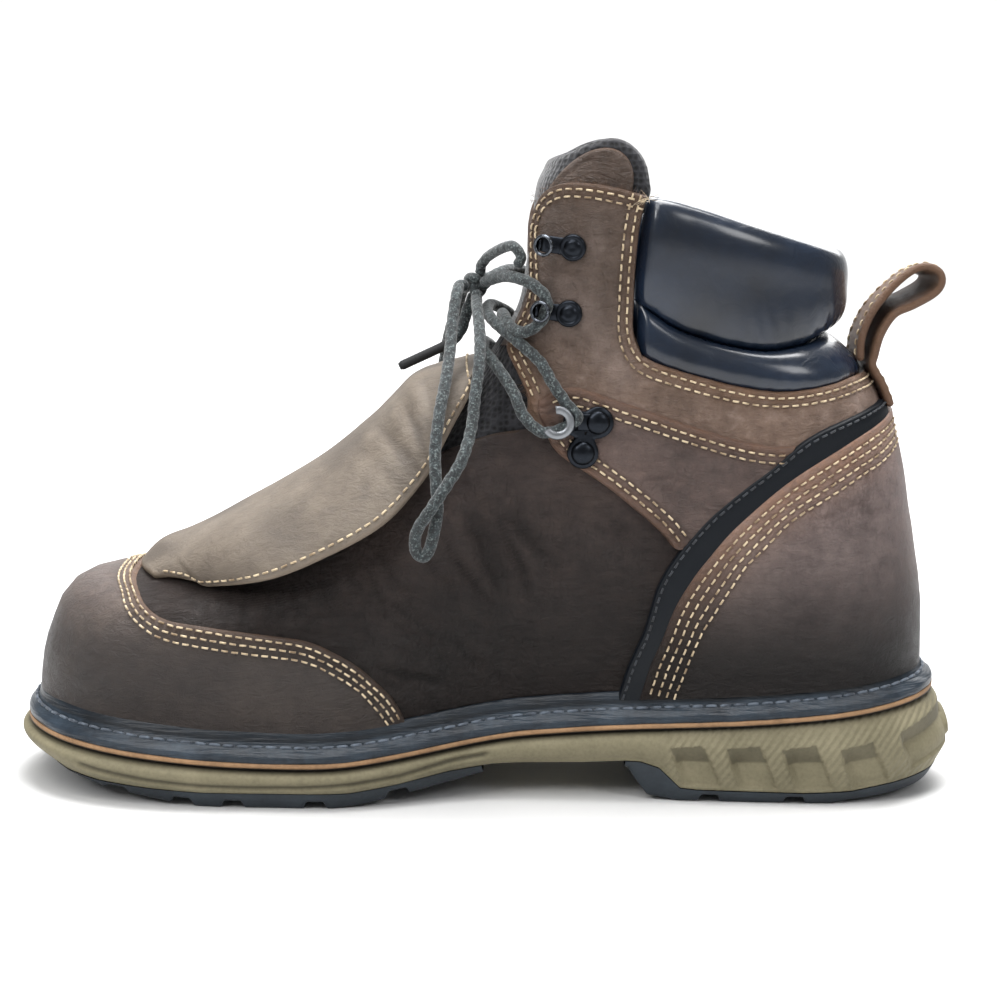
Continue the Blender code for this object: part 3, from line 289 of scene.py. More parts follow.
@dataclass(frozen=True)
class Last:
    """The shape that the leather is pulled over, with the sizes that all pieces follow."""

    length: float = 0.3065
    width: float = 0.110
    shaft: float = 0.160
    sole_height: float = 0.0343
    runner: float = 0.0020
    clear: float = 0.0003
    welt_rise: float = 0.0090

    def rand(self, share: Any) -> Array:
        """Height of the midsole's top edge."""
        return follow(RAND, share) * self.sole_height

    def rubber(self, share: Any) -> Array:
        """Height of the joint between midsole and tread."""
        return np.interp(share, RUBBER[:, 0], RUBBER[:, 1]) * self.sole_height

    def feather(self, share: Any) -> Array:
        """Height where the upper leaves the welt."""
        return self.rand(share) + self.runner + self.clear + self.welt_rise

    def half_width(self, share: Array, front: Any, back: Any, widths: Sequence[Any],
                   nose: Any, power: Any, heel: float = .13) -> Array:
        """Half width of a rounded plan.

        Args:
            share: Places along the boot as shares of its length.
            front: Share where the plan starts.
            back: Share where it ends.
            widths: Half widths at ball, waist and heel, as shares of the boot's width.
            nose: Reach of the front rounding.
            power: Bluntness of the front.
            heel: Reach of the rear rounding.

        Returns:
            Half widths in metres.
        """
        ball, waist, rear = widths
        width = ball + (waist - ball) * (1 - np.cos(np.pi * np.clip((share - .319) / .226, 0, 1))) / 2
        width = width + (rear - waist) * (1 - np.cos(np.pi * np.clip((share - .545) / .275, 0, 1))) / 2
        width = width * self.width
        for inside, reach, bend in ((share - front, nose, power), (back - share, heel, 2.2)):
            gap = np.clip(1 - inside / reach, 0, 1)
            width = width * np.maximum(0, 1 - gap ** bend) ** (1 / bend)
        return width

    def flat(self, turn: Any, ring: Any) -> Array:
        """Points on the unworn skin.

        Args:
            turn: Turns round the boot.
            ring: Rings up the boot.

        Returns:
            Points, the last axis being x, y and z.
        """
        turn, ring = np.broadcast_arrays(np.asarray(turn, float), np.asarray(ring, float))
        steps = np.arange(len(RINGS))
        row = [follow(np.stack([steps, RINGS[:, k]], 1), ring) for k in range(10)]
        along = (1 - np.cos(turn)) / 2
        share = row[0] + (row[2] - row[0]) * along
        rise = row[1] + (row[3] - row[1]) * along
        width = self.half_width(share, row[0], row[2], row[4:7], row[7], row[8])
        side = np.where(np.sin(turn) > 0, -1.0, 1.0)
        swing = ease(CENTRE, share) * self.width * row[9]
        return np.stack([(share - .5) * self.length, swing + side * width,
                         self.feather(share) + rise * self.shaft], -1)

    def normal(self, turn: Any, ring: Any) -> Array:
        """Outward normals of the skin."""
        turn, ring = np.asarray(turn, float), np.asarray(ring, float)
        along = self.flat(turn + 1e-3, ring) - self.flat(turn - 1e-3, ring)
        up = self.flat(turn, ring + 1e-3) - self.flat(turn, ring - 1e-3)
        return normalised(np.cross(along, up))

    def wear(self, points: Array) -> Array:
        """Depth of the creases at points.

        Args:
            points: Points on the skin, one per row.

        Returns:
            Depths in metres, positive inward.
        """
        seen = points[:, [0, 2]] / MM
        depth = .10 * (np.sin(seen[:, 0] * .21 + 2 * np.sin(seen[:, 1] * .09))
                       * np.sin(seen[:, 1] * .17 + 1.3 * np.sin(seen[:, 0] * .07)))
        for crease in CREASES:
            gap, share = to_lines(seen, np.array(crease.path, float))
            fade = np.sin(np.pi * np.clip(share * .9 + .05, 0, 1)) ** .7
            width = max(1.1, crease.width)
            gain = 1.9 if crease.width < 2 else 1.3
            worn = crease.depth * gain * np.exp(-(gap / width) ** 2) * fade
            depth = depth + worn
        return depth * MM

    def flexed(self, points: Array) -> Array:
        """How much the leather is flexed at points, from 0 to 1."""
        seen = points[:, [0, 2]] / MM
        share = np.zeros(len(points))
        for crease in CREASES:
            gap, _ = to_lines(seen, np.array(crease.path, float))
            share = np.maximum(share, np.exp(-(gap / 7.0) ** 2) * min(1, abs(crease.depth) * 2.2))
        return share

    def skin(self, turn: Any, ring: Any, proud: Any = 0.0) -> Array:
        """Points on the worn skin, or proud of it.

        Args:
            turn: Turns round the boot.
            ring: Rings up the boot.
            proud: Metres to stand off.

        Returns:
            Points, the last axis being x, y and z.
        """
        base = self.flat(turn, ring)
        lift = np.asarray(proud) - self.wear(base.reshape(-1, 3)).reshape(base.shape[:-1])
        return base + self.normal(turn, ring) * lift[..., None]

    def trace(self, knots: Knots, shares: Any) -> Array:
        """Turn and ring at shares of the length of a smooth line through knots.

        Args:
            knots: Turn and ring of the points that the line passes.
            shares: Shares of its length.

        Returns:
            Turn and ring, one pair per row.
        """
        table = np.asarray(knots, float)
        steps = np.arange(len(table))
        fine = np.linspace(0, len(table) - 1, 24 * len(table))
        line = np.stack([follow(np.stack([steps, table[:, k]], 1), fine) for k in (0, 1)], 1)
        cum = run_of(self.flat(line[:, 0], line[:, 1]))
        count = max(9, int(cum[-1] / .0008))
        even = np.linspace(0, cum[-1], count)
        line = np.stack([np.interp(even, cum, line[:, k]) for k in (0, 1)], 1)
        # A moving mean about 5 mm long, mirrored through the ends, takes the kinks out
        reach = min(3, count // 3)
        for _ in range(2):
            ends = [line[:1] * 2 - line[reach:0:-1], line, line[-1:] * 2 - line[-2:-reach - 2:-1]]
            padded = np.cumsum(np.vstack([np.zeros((1, 2)), *ends]), axis=0)
            line = (padded[2 * reach + 1:] - padded[:-2 * reach - 1]) / (2 * reach + 1)
        at = np.asarray(shares) * cum[-1]
        return np.stack([np.interp(at, even, line[:, k]) for k in (0, 1)], 1)

    def length_of(self, knots: Knots) -> float:
        """Length of a smooth line on the skin, in metres."""
        line = self.trace(knots, np.linspace(0, 1, 80))
        return float(run_of(self.flat(line[:, 0], line[:, 1]))[-1])

    def beside(self, knots: Knots, gap: float, count: int = 60) -> list[tuple[float, float]]:
        """Line that runs beside another on the skin.

        Args:
            knots: Turn and ring of the first line's points.
            gap: Distance in metres, to the left of the way it runs as seen from outside.
            count: Number of points.

        Returns:
            Turn and ring of the new line's points.
        """
        line = self.trace(knots, np.linspace(0, 1, count))
        here = self.flat(line[:, 0], line[:, 1])
        way = normalised(np.gradient(here, axis=0))
        across = np.cross(self.normal(line[:, 0], line[:, 1]), way) * gap
        by_turn = (self.flat(line[:, 0] + 1e-4, line[:, 1]) - here) / 1e-4
        by_ring = (self.flat(line[:, 0], line[:, 1] + 1e-4) - here) / 1e-4
        moved = []
        for k in range(count):
            base = np.stack([by_turn[k], by_ring[k]], 1)
            shift = np.linalg.lstsq(base, across[k], rcond=None)[0]
            moved.append((float(line[k, 0] + shift[0]), float(line[k, 1] + shift[1])))
        return moved


LAST = Last()


def sided(knots: Knots, side: Side) -> list[tuple[float, float]]:
    """Knots on the inner or the outer side."""
    return [(turn * side.value, ring) for turn, ring in knots]


# Materials


def add(tree: Tree, kind: str, inputs: dict[Any, Any] | None = None,
        stops: Sequence[tuple[float, str]] = (), **settings: Any) -> Node:
    """Add a node with its settings and links.

    Args:
        tree: Node tree to add to.
        kind: Blender's node type, without the ShaderNode that starts it.
        inputs: Socket name or number to a value, or to a socket to link.
        stops: Places and sRGB hex colours, for a colour ramp.
        settings: Attributes of the node.

    Returns:
        The node.
    """
    made = tree.nodes.new("ShaderNode" + kind)
    for name, value in settings.items():
        setattr(made, name, value)
    for _ in stops[2:]:
        made.color_ramp.elements.new(.5)
    for index, (place, colour) in enumerate(stops):
        made.color_ramp.elements[index].position = place
        made.color_ramp.elements[index].color = linear(colour)
    for name, value in (inputs or {}).items():
        if isinstance(value, Socket):
            tree.links.new(value, made.inputs[name])
        else:
            made.inputs[name].default_value = value
    return made


def start(name: str, **shader: Any) -> tuple[Tree, Node, Socket]:
    """Begin a material with its shader and the place on the object.

    Args:
        name: Name of the material.
        shader: Values of the shader's sockets, with spaces in their names as underscores.

    Returns:
        Node tree, shader node and the socket with the place in metres.
    """
    material = bpy.data.materials.new(name)
    material.use_nodes = True
    tree = material.node_tree
    node = tree.nodes["Principled BSDF"]
    for key, value in shader.items():
        node.inputs[key.replace("_", " ")].default_value = value
    place = add(tree, "TexCoord").outputs["Object"]
    return tree, node, place


@dataclass(frozen=True)
class Leather:
    """Full grain cowhide, drum dyed and waxed: soft sheen, open grain, painted shade that darkens it where it
    folds, and painted light and shade by height.
    """

    name: str
    tone: str
    pale: str
    deep: str
    raw: str
    roughness: float = .5
    grain: float = .9
    bump: float = .5
    # low and high are painted light and shade: factors on the colour at the bottom and the top of span
    low: float = 1.0
    high: float = 1.0
    shine: float = .4
    span: tuple[float, float] = (.044, .108)

    def material(self) -> Material:
        """Build the material.

        Returns:
            The material.
        """
        tree, shader, place = start(self.name, IOR=1.48, Coat_Weight=.05, Coat_Roughness=.35,
                                    Specular_IOR_Level=self.shine)
        patches = add(tree, "TexNoise", {"Vector": place, "Scale": 22.0, "Detail": 5.0,
                                                   "Roughness": .6})
        small = add(tree, "TexNoise", {"Vector": place, "Scale": 190.0, "Detail": 6.0,
                                                 "Roughness": .7})
        tone = add(tree, "ValToRGB", {"Fac": patches.outputs["Fac"]},
            [(.26, self.deep), (.48, self.tone), (.66, self.pale)]).outputs["Color"]
        tone = add(tree, "Mix", {0: .42, 6: tone,
            7: add(tree, "ValToRGB", {"Fac": small.outputs["Fac"]},
                   [(.3, self.deep), (.52, self.tone), (.74, self.pale)]).outputs["Color"]},
            data_type="RGBA").outputs[2]
        # Grain cells are 0.9 mm across: twice the real size, so that they show
        cells = add(tree, "TexVoronoi", {"Vector": place, "Scale": 1 / (self.grain * MM),
                                                   "Randomness": 1.0}, feature="F1")
        # Fine wrinkles 2 to 3 mm apart, drawn out along the boot
        drawn = add(tree, "Mapping", {"Vector": place, "Scale": (.55, 1.0, 1.25),
                                                "Rotation": (0, .6, 0)})
        wrinkle = add(tree, "TexNoise", {"Vector": drawn.outputs[0], "Scale": 340.0,
                                                   "Detail": 8.0, "Roughness": .72, "Distortion": .9})
        crease = add(tree, "Attribute", attribute_name="crease").outputs["Fac"]
        edge = add(tree, "Attribute", attribute_name="edge").outputs["Fac"]
        # Painted shade: the crease mark darkens the tone towards deep in troughs, wrinkles and pressed seams
        tone = add(tree, "Mix", {0: crease, 6: tone, 7: linear(self.deep)}, data_type="RGBA").outputs[2]
        mottled = add(tree, "Math", {0: edge, 1: add(tree, "MapRange", {
            "Value": wrinkle.outputs["Fac"], "From Min": .35, "From Max": .6, "To Min": .45}).outputs[0]},
            operation="MULTIPLY")
        shader_colour = add(tree, "Mix", {0: mottled.outputs[0], 6: tone, 7: linear(self.raw)},
            data_type="RGBA").outputs[2]
        # Painted light and shade by height: the colour is multiplied by a factor that eases from low at the
        # first height of span to high at the second
        rise = add(tree, "SeparateXYZ", {0: place}).outputs["Z"]
        painted_light_factor = add(tree, "MapRange", {"Value": rise, "From Min": self.span[0], "From Max": self.span[1],
                                                  "To Min": self.low, "To Max": self.high},
                     interpolation_type="SMOOTHSTEP")
        painted_light_colour = add(tree, "Mix", {0: 1.0, 6: shader_colour, 7: painted_light_factor.outputs[0]}, data_type="RGBA",
            blend_type="MULTIPLY").outputs[2]
        tree.links.new(painted_light_colour, shader.inputs["Base Color"])
        gloss = add(tree, "MapRange", {"Value": small.outputs["Fac"], "From Min": .3,
                                                 "From Max": .7, "To Min": self.roughness - .09,
                                                 "To Max": self.roughness + .11})
        tree.links.new(gloss.outputs[0], shader.inputs["Roughness"])
        fine = add(tree, "Bump", {"Strength": self.bump * .5, "Distance": .0003,
                                            "Height": cells.outputs["Distance"]})
        rough = add(tree, "Bump", {"Strength": self.bump, "Distance": .0034,
                                             "Height": wrinkle.outputs["Fac"],
                                             "Normal": fine.outputs[0]})
        # Flexed leather breaks into folds 3 to 4 mm apart with sharp valleys
        warp = add(tree, "TexNoise", {"Vector": place, "Scale": 120.0, "Detail": 3.0})
        bent = add(tree, "VectorMath", {0: warp.outputs["Color"], "Scale": .006},
                   operation="SCALE")
        upright = add(tree, "Mapping", {"Vector": place, "Scale": (1.5, 1.0, .55),
                                                  "Rotation": (0, -.25, 0)})
        moved = add(tree, "VectorMath", {0: upright.outputs[0], 1: bent.outputs[0]},
                    operation="ADD")
        folds = add(tree, "TexVoronoi", {"Vector": moved.outputs[0], "Scale": 250.0},
                    feature="DISTANCE_TO_EDGE")
        valley = add(tree, "MapRange", {"Value": folds.outputs["Distance"], "From Max": .22,
                                                  "To Min": 0.0, "To Max": 1.0})
        flex = add(tree, "Attribute", attribute_name="flex").outputs["Fac"]
        depth = add(tree, "Math", {0: valley.outputs[0], 1: flex}, operation="MULTIPLY")
        fold = add(tree, "Bump", {"Strength": .5, "Distance": .0007,
                                            "Height": depth.outputs[0], "Normal": rough.outputs[0]})
        tree.links.new(fold.outputs[0], shader.inputs["Normal"])
        return bpy.data.materials[self.name]


@dataclass(frozen=True)
class CoatedLeather:
    """Polyurethane coated split over foam: near black, broad wet highlights, fine tension wrinkles."""

    name: str = "coated_collar_leather"

    def material(self) -> Material:
        """Build the material.

        Returns:
            The material.
        """
        tree, shader, place = start(self.name, IOR=1.5, Coat_Weight=1.0, Coat_Roughness=.20,
                                    Specular_IOR_Level=.12)
        cloud = add(tree, "TexNoise", {"Vector": place, "Scale": 40.0, "Detail": 3.0})
        tree.links.new(add(tree, "ValToRGB", {"Fac": cloud.outputs["Fac"]},
            [(.3, "#0a111b"), (.7, "#162233")]).outputs["Color"], shader.inputs["Base Color"])
        gloss = add(tree, "MapRange", {"Value": cloud.outputs["Fac"], "To Min": .30,
                                                 "To Max": .44})
        tree.links.new(gloss.outputs[0], shader.inputs["Roughness"])
        # Embossed grain about 0.7 mm across and slack wrinkles about 5 mm apart
        grain = add(tree, "TexVoronoi", {"Vector": place, "Scale": 1400.0})
        slack = add(tree, "TexNoise", {"Vector": place, "Scale": 160.0, "Detail": 4.0,
                                                 "Distortion": 1.2})
        fine = add(tree, "Bump", {"Strength": .12, "Distance": .0002,
                                            "Height": grain.outputs["Distance"]})
        wave = add(tree, "Bump", {"Strength": .45, "Distance": .0016,
                                            "Height": slack.outputs["Fac"], "Normal": fine.outputs[0]})
        tree.links.new(wave.outputs[0], shader.inputs["Normal"])
        return bpy.data.materials[self.name]


@dataclass(frozen=True)
class Rubber:
    """Moulded rubber: matt, slightly mottled and scuffed, with specks of dirt and painted shade in its
    recesses.
    """

    name: str
    tone: str
    pale: str
    dirt_and_shade: str
    roughness: float = .62
    lines: float = 0.0
    knurled: bool = False
    shine: float = .4

    def material(self) -> Material:
        """Build the material.

        Returns:
            The material.
        """
        tree, shader, place = start(self.name, IOR=1.5, Roughness=self.roughness,
                                    Specular_IOR_Level=self.shine)
        cloud = add(tree, "TexNoise", {"Vector": place, "Scale": 45.0, "Detail": 8.0,
                                                 "Roughness": .7})
        speck = add(tree, "TexNoise", {"Vector": place, "Scale": 900.0, "Detail": 3.0})
        tone = add(tree, "ValToRGB", {"Fac": cloud.outputs["Fac"]},
            [(.36, self.tone), (.66, self.pale)]).outputs["Color"]
        tone = add(tree, "Mix", {0: .12, 6: tone,
            7: add(tree, "ValToRGB", {"Fac": speck.outputs["Fac"]},
                   [(.35, self.dirt_and_shade), (.5, self.tone), (.68, self.pale)]).outputs["Color"]},
            data_type="RGBA").outputs[2]
        # Painted shade: the crease mark darkens recesses and gaps towards the darkest colour
        groove = add(tree, "Attribute", attribute_name="crease").outputs["Fac"]
        tree.links.new(add(tree, "Mix", {0: groove, 6: tone, 7: linear(self.dirt_and_shade)},
            data_type="RGBA").outputs[2], shader.inputs["Base Color"])
        bump = add(tree, "Bump", {"Strength": .18, "Distance": .0003,
                                            "Height": speck.outputs["Fac"]})
        if self.lines:
            # Trimming marks that run along the edge, about 0.8 mm apart
            marks = add(tree, "Mapping", {"Vector": place, "Scale": (.06, .06, 1.0)})
            streak = add(tree, "TexNoise", {"Vector": marks.outputs[0], "Scale": 1200.0,
                                                      "Detail": 4.0})
            bump = add(tree, "Bump", {"Strength": self.lines, "Distance": .0008,
                                                "Height": streak.outputs["Fac"],
                                                "Normal": bump.outputs[0]})
        if self.knurled:
            # Moulded diagonal lines 1.1 mm apart on the heel's ribs
            slant = add(tree, "Mapping", {"Vector": place, "Rotation": (0, -.62, 0)})
            ridges = add(tree, "TexWave", {"Vector": slant.outputs[0], "Scale": 142.0,
                                                     "Distortion": .6, "Detail": 1.0},
                         bands_direction="X")
            mask = add(tree, "Attribute", attribute_name="knurl").outputs["Fac"]
            height = add(tree, "Math", {0: ridges.outputs["Fac"], 1: mask}, operation="MULTIPLY")
            bump = add(tree, "Bump", {"Strength": .6, "Distance": .0005,
                                                "Height": height.outputs[0], "Normal": bump.outputs[0]})
        tree.links.new(bump.outputs[0], shader.inputs["Normal"])
        return bpy.data.materials[self.name]


@dataclass(frozen=True)
class Thread:
    """Bonded polyester sewing thread, twisted: pale, with a slight sheen."""

    name: str = "bonded_thread_cream"
    tone: str = "#cbb898"
    shade: str = "#7d684d"

    def material(self) -> Material:
        """Build the material.

        Returns:
            The material.
        """
        tree, shader, place = start(self.name, Roughness=.6, IOR=1.5, Sheen_Weight=.2)
        soil_and_shade = add(tree, "TexNoise", {"Vector": place, "Scale": 260.0, "Detail": 4.0})
        tree.links.new(add(tree, "ValToRGB", {"Fac": soil_and_shade.outputs["Fac"]},
            [(.36, self.shade), (.6, self.tone)]).outputs["Color"], shader.inputs["Base Color"])
        twist = add(tree, "TexNoise", {"Vector": place, "Scale": 2600.0})
        bump = add(tree, "Bump", {"Strength": .5, "Distance": .0002,
                                            "Height": twist.outputs["Fac"]})
        tree.links.new(bump.outputs[0], shader.inputs["Normal"])
        return bpy.data.materials[self.name]


@dataclass(frozen=True)
class Cloth:
    """Warp knitted spacer mesh: matt black with small open cells."""

    name: str = "spacer_mesh_black"
    tone: str = "#26262a"
    hole: str = "#060607"
    cell: float = 1.9

    def material(self) -> Material:
        """Build the material.

        Returns:
            The material.
        """
        tree, shader, place = start(self.name, Roughness=.95, IOR=1.45, Sheen_Weight=.3)
        cells = add(tree, "TexVoronoi", {"Vector": place, "Scale": 1 / (self.cell * MM),
                                                   "Randomness": .35})
        tree.links.new(add(tree, "ValToRGB", {"Fac": cells.outputs["Distance"]},
            [(.22, self.hole), (.5, self.tone)]).outputs["Color"], shader.inputs["Base Color"])
        bump = add(tree, "Bump", {"Strength": .7, "Distance": .0008,
                                            "Height": cells.outputs["Distance"]})
        tree.links.new(bump.outputs[0], shader.inputs["Normal"])
        return bpy.data.materials[self.name]


@dataclass(frozen=True)
class LaceCord:
    """Braided polyester lace, charcoal with lighter filaments that catch the light as flecks."""

    name: str = "braided_lace_charcoal"

    def material(self) -> Material:
        """Build the material.

        Returns:
            The material.
        """
        tree, shader, place = start(self.name, Roughness=.85, IOR=1.5, Sheen_Weight=.25)
        fleck = add(tree, "TexNoise", {"Vector": place, "Scale": 1500.0, "Detail": 2.0,
                                                 "Roughness": .6})
        patch = add(tree, "TexNoise", {"Vector": place, "Scale": 420.0, "Detail": 3.0})
        tone = add(tree, "ValToRGB", {"Fac": fleck.outputs["Fac"]},
            [(.42, "#161b1d"), (.54, "#333b3d"), (.66, "#808987")]).outputs["Color"]
        tone = add(tree, "Mix", {0: .45, 6: tone,
            7: add(tree, "ValToRGB", {"Fac": patch.outputs["Fac"]},
                   [(.4, "#15191b"), (.65, "#3b4447")]).outputs["Color"]}, data_type="RGBA").outputs[2]
        # Painted shade: the crease mark darkens the grooves between the strands
        groove = add(tree, "Attribute", attribute_name="crease").outputs["Fac"]
        tree.links.new(add(tree, "Mix", {0: groove, 6: tone, 7: linear("#15181a")},
            data_type="RGBA").outputs[2], shader.inputs["Base Color"])
        bump = add(tree, "Bump", {"Strength": .5, "Distance": .0003,
                                            "Height": fleck.outputs["Fac"]})
        tree.links.new(bump.outputs[0], shader.inputs["Normal"])
        return bpy.data.materials[self.name]


@dataclass(frozen=True)
class Plated:
    """Stamped brass or steel under a dark plating, or bare where it is worn: tight highlights."""

    name: str
    tone: str
    roughness: float

    def material(self) -> Material:
        """Build the material.

        Returns:
            The material.
        """
        tree, shader, place = start(self.name, Metallic=1.0, Base_Color=linear(self.tone))
        cloud = add(tree, "TexNoise", {"Vector": place, "Scale": 500.0, "Detail": 5.0})
        gloss = add(tree, "MapRange", {"Value": cloud.outputs["Fac"],
                                                 "To Min": self.roughness - .1,
                                                 "To Max": self.roughness + .14})
        tree.links.new(gloss.outputs[0], shader.inputs["Roughness"])
        bump = add(tree, "Bump", {"Strength": .12, "Distance": .0003,
                                            "Height": cloud.outputs["Fac"]})
        tree.links.new(bump.outputs[0], shader.inputs["Normal"])
        return bpy.data.materials[self.name]


@dataclass(frozen=True)
class Plastic:
    """Moulded or calendered polymer, plain and satin."""

    name: str
    tone: str
    roughness: float = .5
    shine: float = .5

    def material(self) -> Material:
        """Build the material.

        Returns:
            The material.
        """
        tree, shader, place = start(self.name, IOR=1.5, Base_Color=linear(self.tone),
                                    Roughness=self.roughness, Specular_IOR_Level=self.shine)
        grain = add(tree, "TexNoise", {"Vector": place, "Scale": 1500.0, "Detail": 3.0})
        bump = add(tree, "Bump", {"Strength": .3, "Distance": .0003,
                                            "Height": grain.outputs["Fac"]})
        tree.links.new(bump.outputs[0], shader.inputs["Normal"])
        return bpy.data.materials[self.name]


class Finishes:
    """Every material of the boot, made once."""

    def __init__(self) -> None:
        """Build the materials."""
        # low and high paint light and shade by height: the vamp, toe cap, counter and bands darker low down
        # and lighter higher up, the cuff lighter low down and darker higher up
        self.vamp = Leather("waxed_leather_vamp", "#403633", "#584a44", "#191413", "#54402f",
                            .46, bump=.75, low=.26, high=.85, shine=.26).material()
        self.toe = Leather("waxed_leather_toe_cap", "#4b423e", "#61564f", "#241d1b", "#5a4230",
                           .44, bump=.55, low=.44, high=4.6, shine=.32).material()
        self.heel = Leather("waxed_leather_counter", "#463d3b", "#5d524e", "#1f1817", "#5c4332",
                            .44, bump=.65, low=.14, high=3.1, shine=.26).material()
        self.panel = Leather("waxed_leather_bands", "#443834", "#5c4c46", "#211816", "#5f4534",
                             .44, bump=.65, low=.36, high=1.50, shine=.36).material()
        self.cuff = Leather("waxed_leather_cuff", "#6c594d", "#95837a", "#35261d", "#76563d",
                            .37, bump=.75, low=1.42, high=.60, span=(.112, .158)).material()
        self.guard = Leather("nubuck_guard", "#6b6156", "#80766a", "#4a423b", "#7d7062", .58, .9,
                             .40).material()
        self.loop = Leather("split_leather_loop", "#5e4737", "#735947", "#2c1f17", "#5e4330",
                            .55).material()
        self.collar = CoatedLeather().material()
        self.strip = Plastic("calendered_strip_black", "#0a0f15", .5, .22).material()
        self.dark = Plastic("fused_edge_black", "#0d0e10", .7).material()
        self.welt = Rubber("trimmed_welt_rubber", "#151b22", "#35404b", "#07090d", .34, .75,
            shine=.3).material()
        self.runner = Rubber("ground_leatherboard_edge", "#7d6044", "#a88460", "#1e1712", .7,
                             .5).material()
        self.midsole = Rubber("moulded_midsole_olive", "#6c6650", "#837c64", "#1b1712", .72,
                              knurled=True).material()
        self.tread = Rubber("moulded_tread_slate", "#20262c", "#30383f", "#101418", .62).material()
        self.thread = Thread().material()
        self.dull_thread = Thread("bonded_thread_slate", "#5a6470", "#2f3640").material()
        self.dark_thread = Thread("bonded_thread_black", "#20262e", "#101318").material()
        self.mesh = Cloth().material()
        self.footbed = Cloth("felt_footbed", "#33343a", "#222226", 1.2).material()
        self.lace = LaceCord().material()
        self.black_metal = Plated("black_plated_steel", "#26292e", .30).material()
        self.worn_metal = Plated("bare_brushed_steel", "#85888c", .38).material()
        self.rubbed_metal = Plated("rubbed_plated_steel", "#54585e", .26).material()


# Meshes


def piece(name: str, points: Array, faces: Array, finish: Material,
          marks: dict[str, Array] | None = None) -> Object:
    """Make an object that rides on the boot.

    Args:
        name: Name of the piece.
        points: Vertices, one per row.
        faces: Quads, one per row.
        finish: Its material.
        marks: Named values, one per vertex.

    Returns:
        The object.
    """
    mesh = bpy.data.meshes.new(name)
    mesh.from_pydata(points.tolist(), [], [list(dict.fromkeys(face)) for face in faces.tolist()])
    mesh.polygons.foreach_set("use_smooth", np.ones(len(mesh.polygons), bool))
    for key, values in (marks or {}).items():
        layer = mesh.attributes.new(key, "FLOAT", "POINT")
        layer.data.foreach_set("value", np.asarray(values, np.float32).ravel())
    mesh.materials.append(finish)
    mesh.update()
    made = bpy.data.objects.new(name, mesh)
    bpy.context.scene.collection.objects.link(made)
    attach(made, BODY)
    return made


def quads(rows: int, columns: int, wrap: bool = False, first: int = 0) -> Array:
    """Faces of a grid of vertices.

    Args:
        rows: Number of rows.
        columns: Number of columns.
        wrap: Join the last column to the first.
        first: Number of the first vertex.

    Returns:
        Vertex numbers of the quads.
    """
    index = np.arange(rows * columns).reshape(rows, columns) + first
    if wrap:
        index = np.hstack([index, index[:, :1]])
    return np.stack([index[:-1, :-1], index[:-1, 1:], index[1:, 1:], index[1:, :-1]], -1).reshape(-1, 4)


def joined(parts: Sequence[Sequence[Any]]) -> tuple[Array, Array]:
    """Several parts' vertices and quads, one after the other.

    Args:
        parts: Vertices and quads of each part, the quads counted from its own first vertex.

    Returns:
        All vertices and all quads.
    """
    firsts = np.cumsum([0] + [len(part[0]) for part in parts[:-1]])
    return (np.vstack([part[0] for part in parts]),
            np.vstack([part[1] + first for part, first in zip(parts, firsts)]))


def crowd(length: float, step: float, lip: float) -> Array:
    """Shares of a length, evenly spaced but closer within a lip of both ends.

    Args:
        length: The length in metres.
        step: Usual spacing in metres.
        lip: Width of the closer part in metres.

    Returns:
        Rising shares from 0 to 1.
    """
    near = np.array([0, .08, .2, .4, .7, 1.0]) * lip / max(length, lip * 3)
    count = max(3, int((1 - 2 * near[-1]) * length / step))
    middle = np.linspace(near[-1], 1 - near[-1], count + 1)[1:-1]
    return np.concatenate([near, middle, 1 - near[::-1]])


@dataclass
class Patch:
    """Four sided piece of skin between knots of turn and ring: bottom, top, left and right."""

    bottom: Knots
    top: Knots
    left: Knots | None = None
    right: Knots | None = None

    def grid(self, step: float, lip: float) -> Array:
        """Turn and ring of a grid over the patch.

        Args:
            step: Usual spacing in metres.
            lip: Width of the closer border in metres.

        Returns:
            Array of rows, columns and the pair.
        """
        left = self.left or [self.bottom[0], self.top[0]]
        right = self.right or [self.bottom[-1], self.top[-1]]
        across = max(LAST.length_of(self.bottom), LAST.length_of(self.top))
        up = max(LAST.length_of(left), LAST.length_of(right))
        u, v = crowd(across, step, lip), crowd(up, step, lip)
        low, high = LAST.trace(self.bottom, u), LAST.trace(self.top, u)
        near, far = LAST.trace(left, v), LAST.trace(right, v)
        su, sv = u[None, :, None], v[:, None, None]
        corners = ((1 - su) * (1 - sv) * low[0] + su * (1 - sv) * low[-1]
                   + (1 - su) * sv * high[0] + su * sv * high[-1])
        return ((1 - sv) * low[None] + sv * high[None] + (1 - su) * near[:, None]
                + su * far[:, None] - corners)


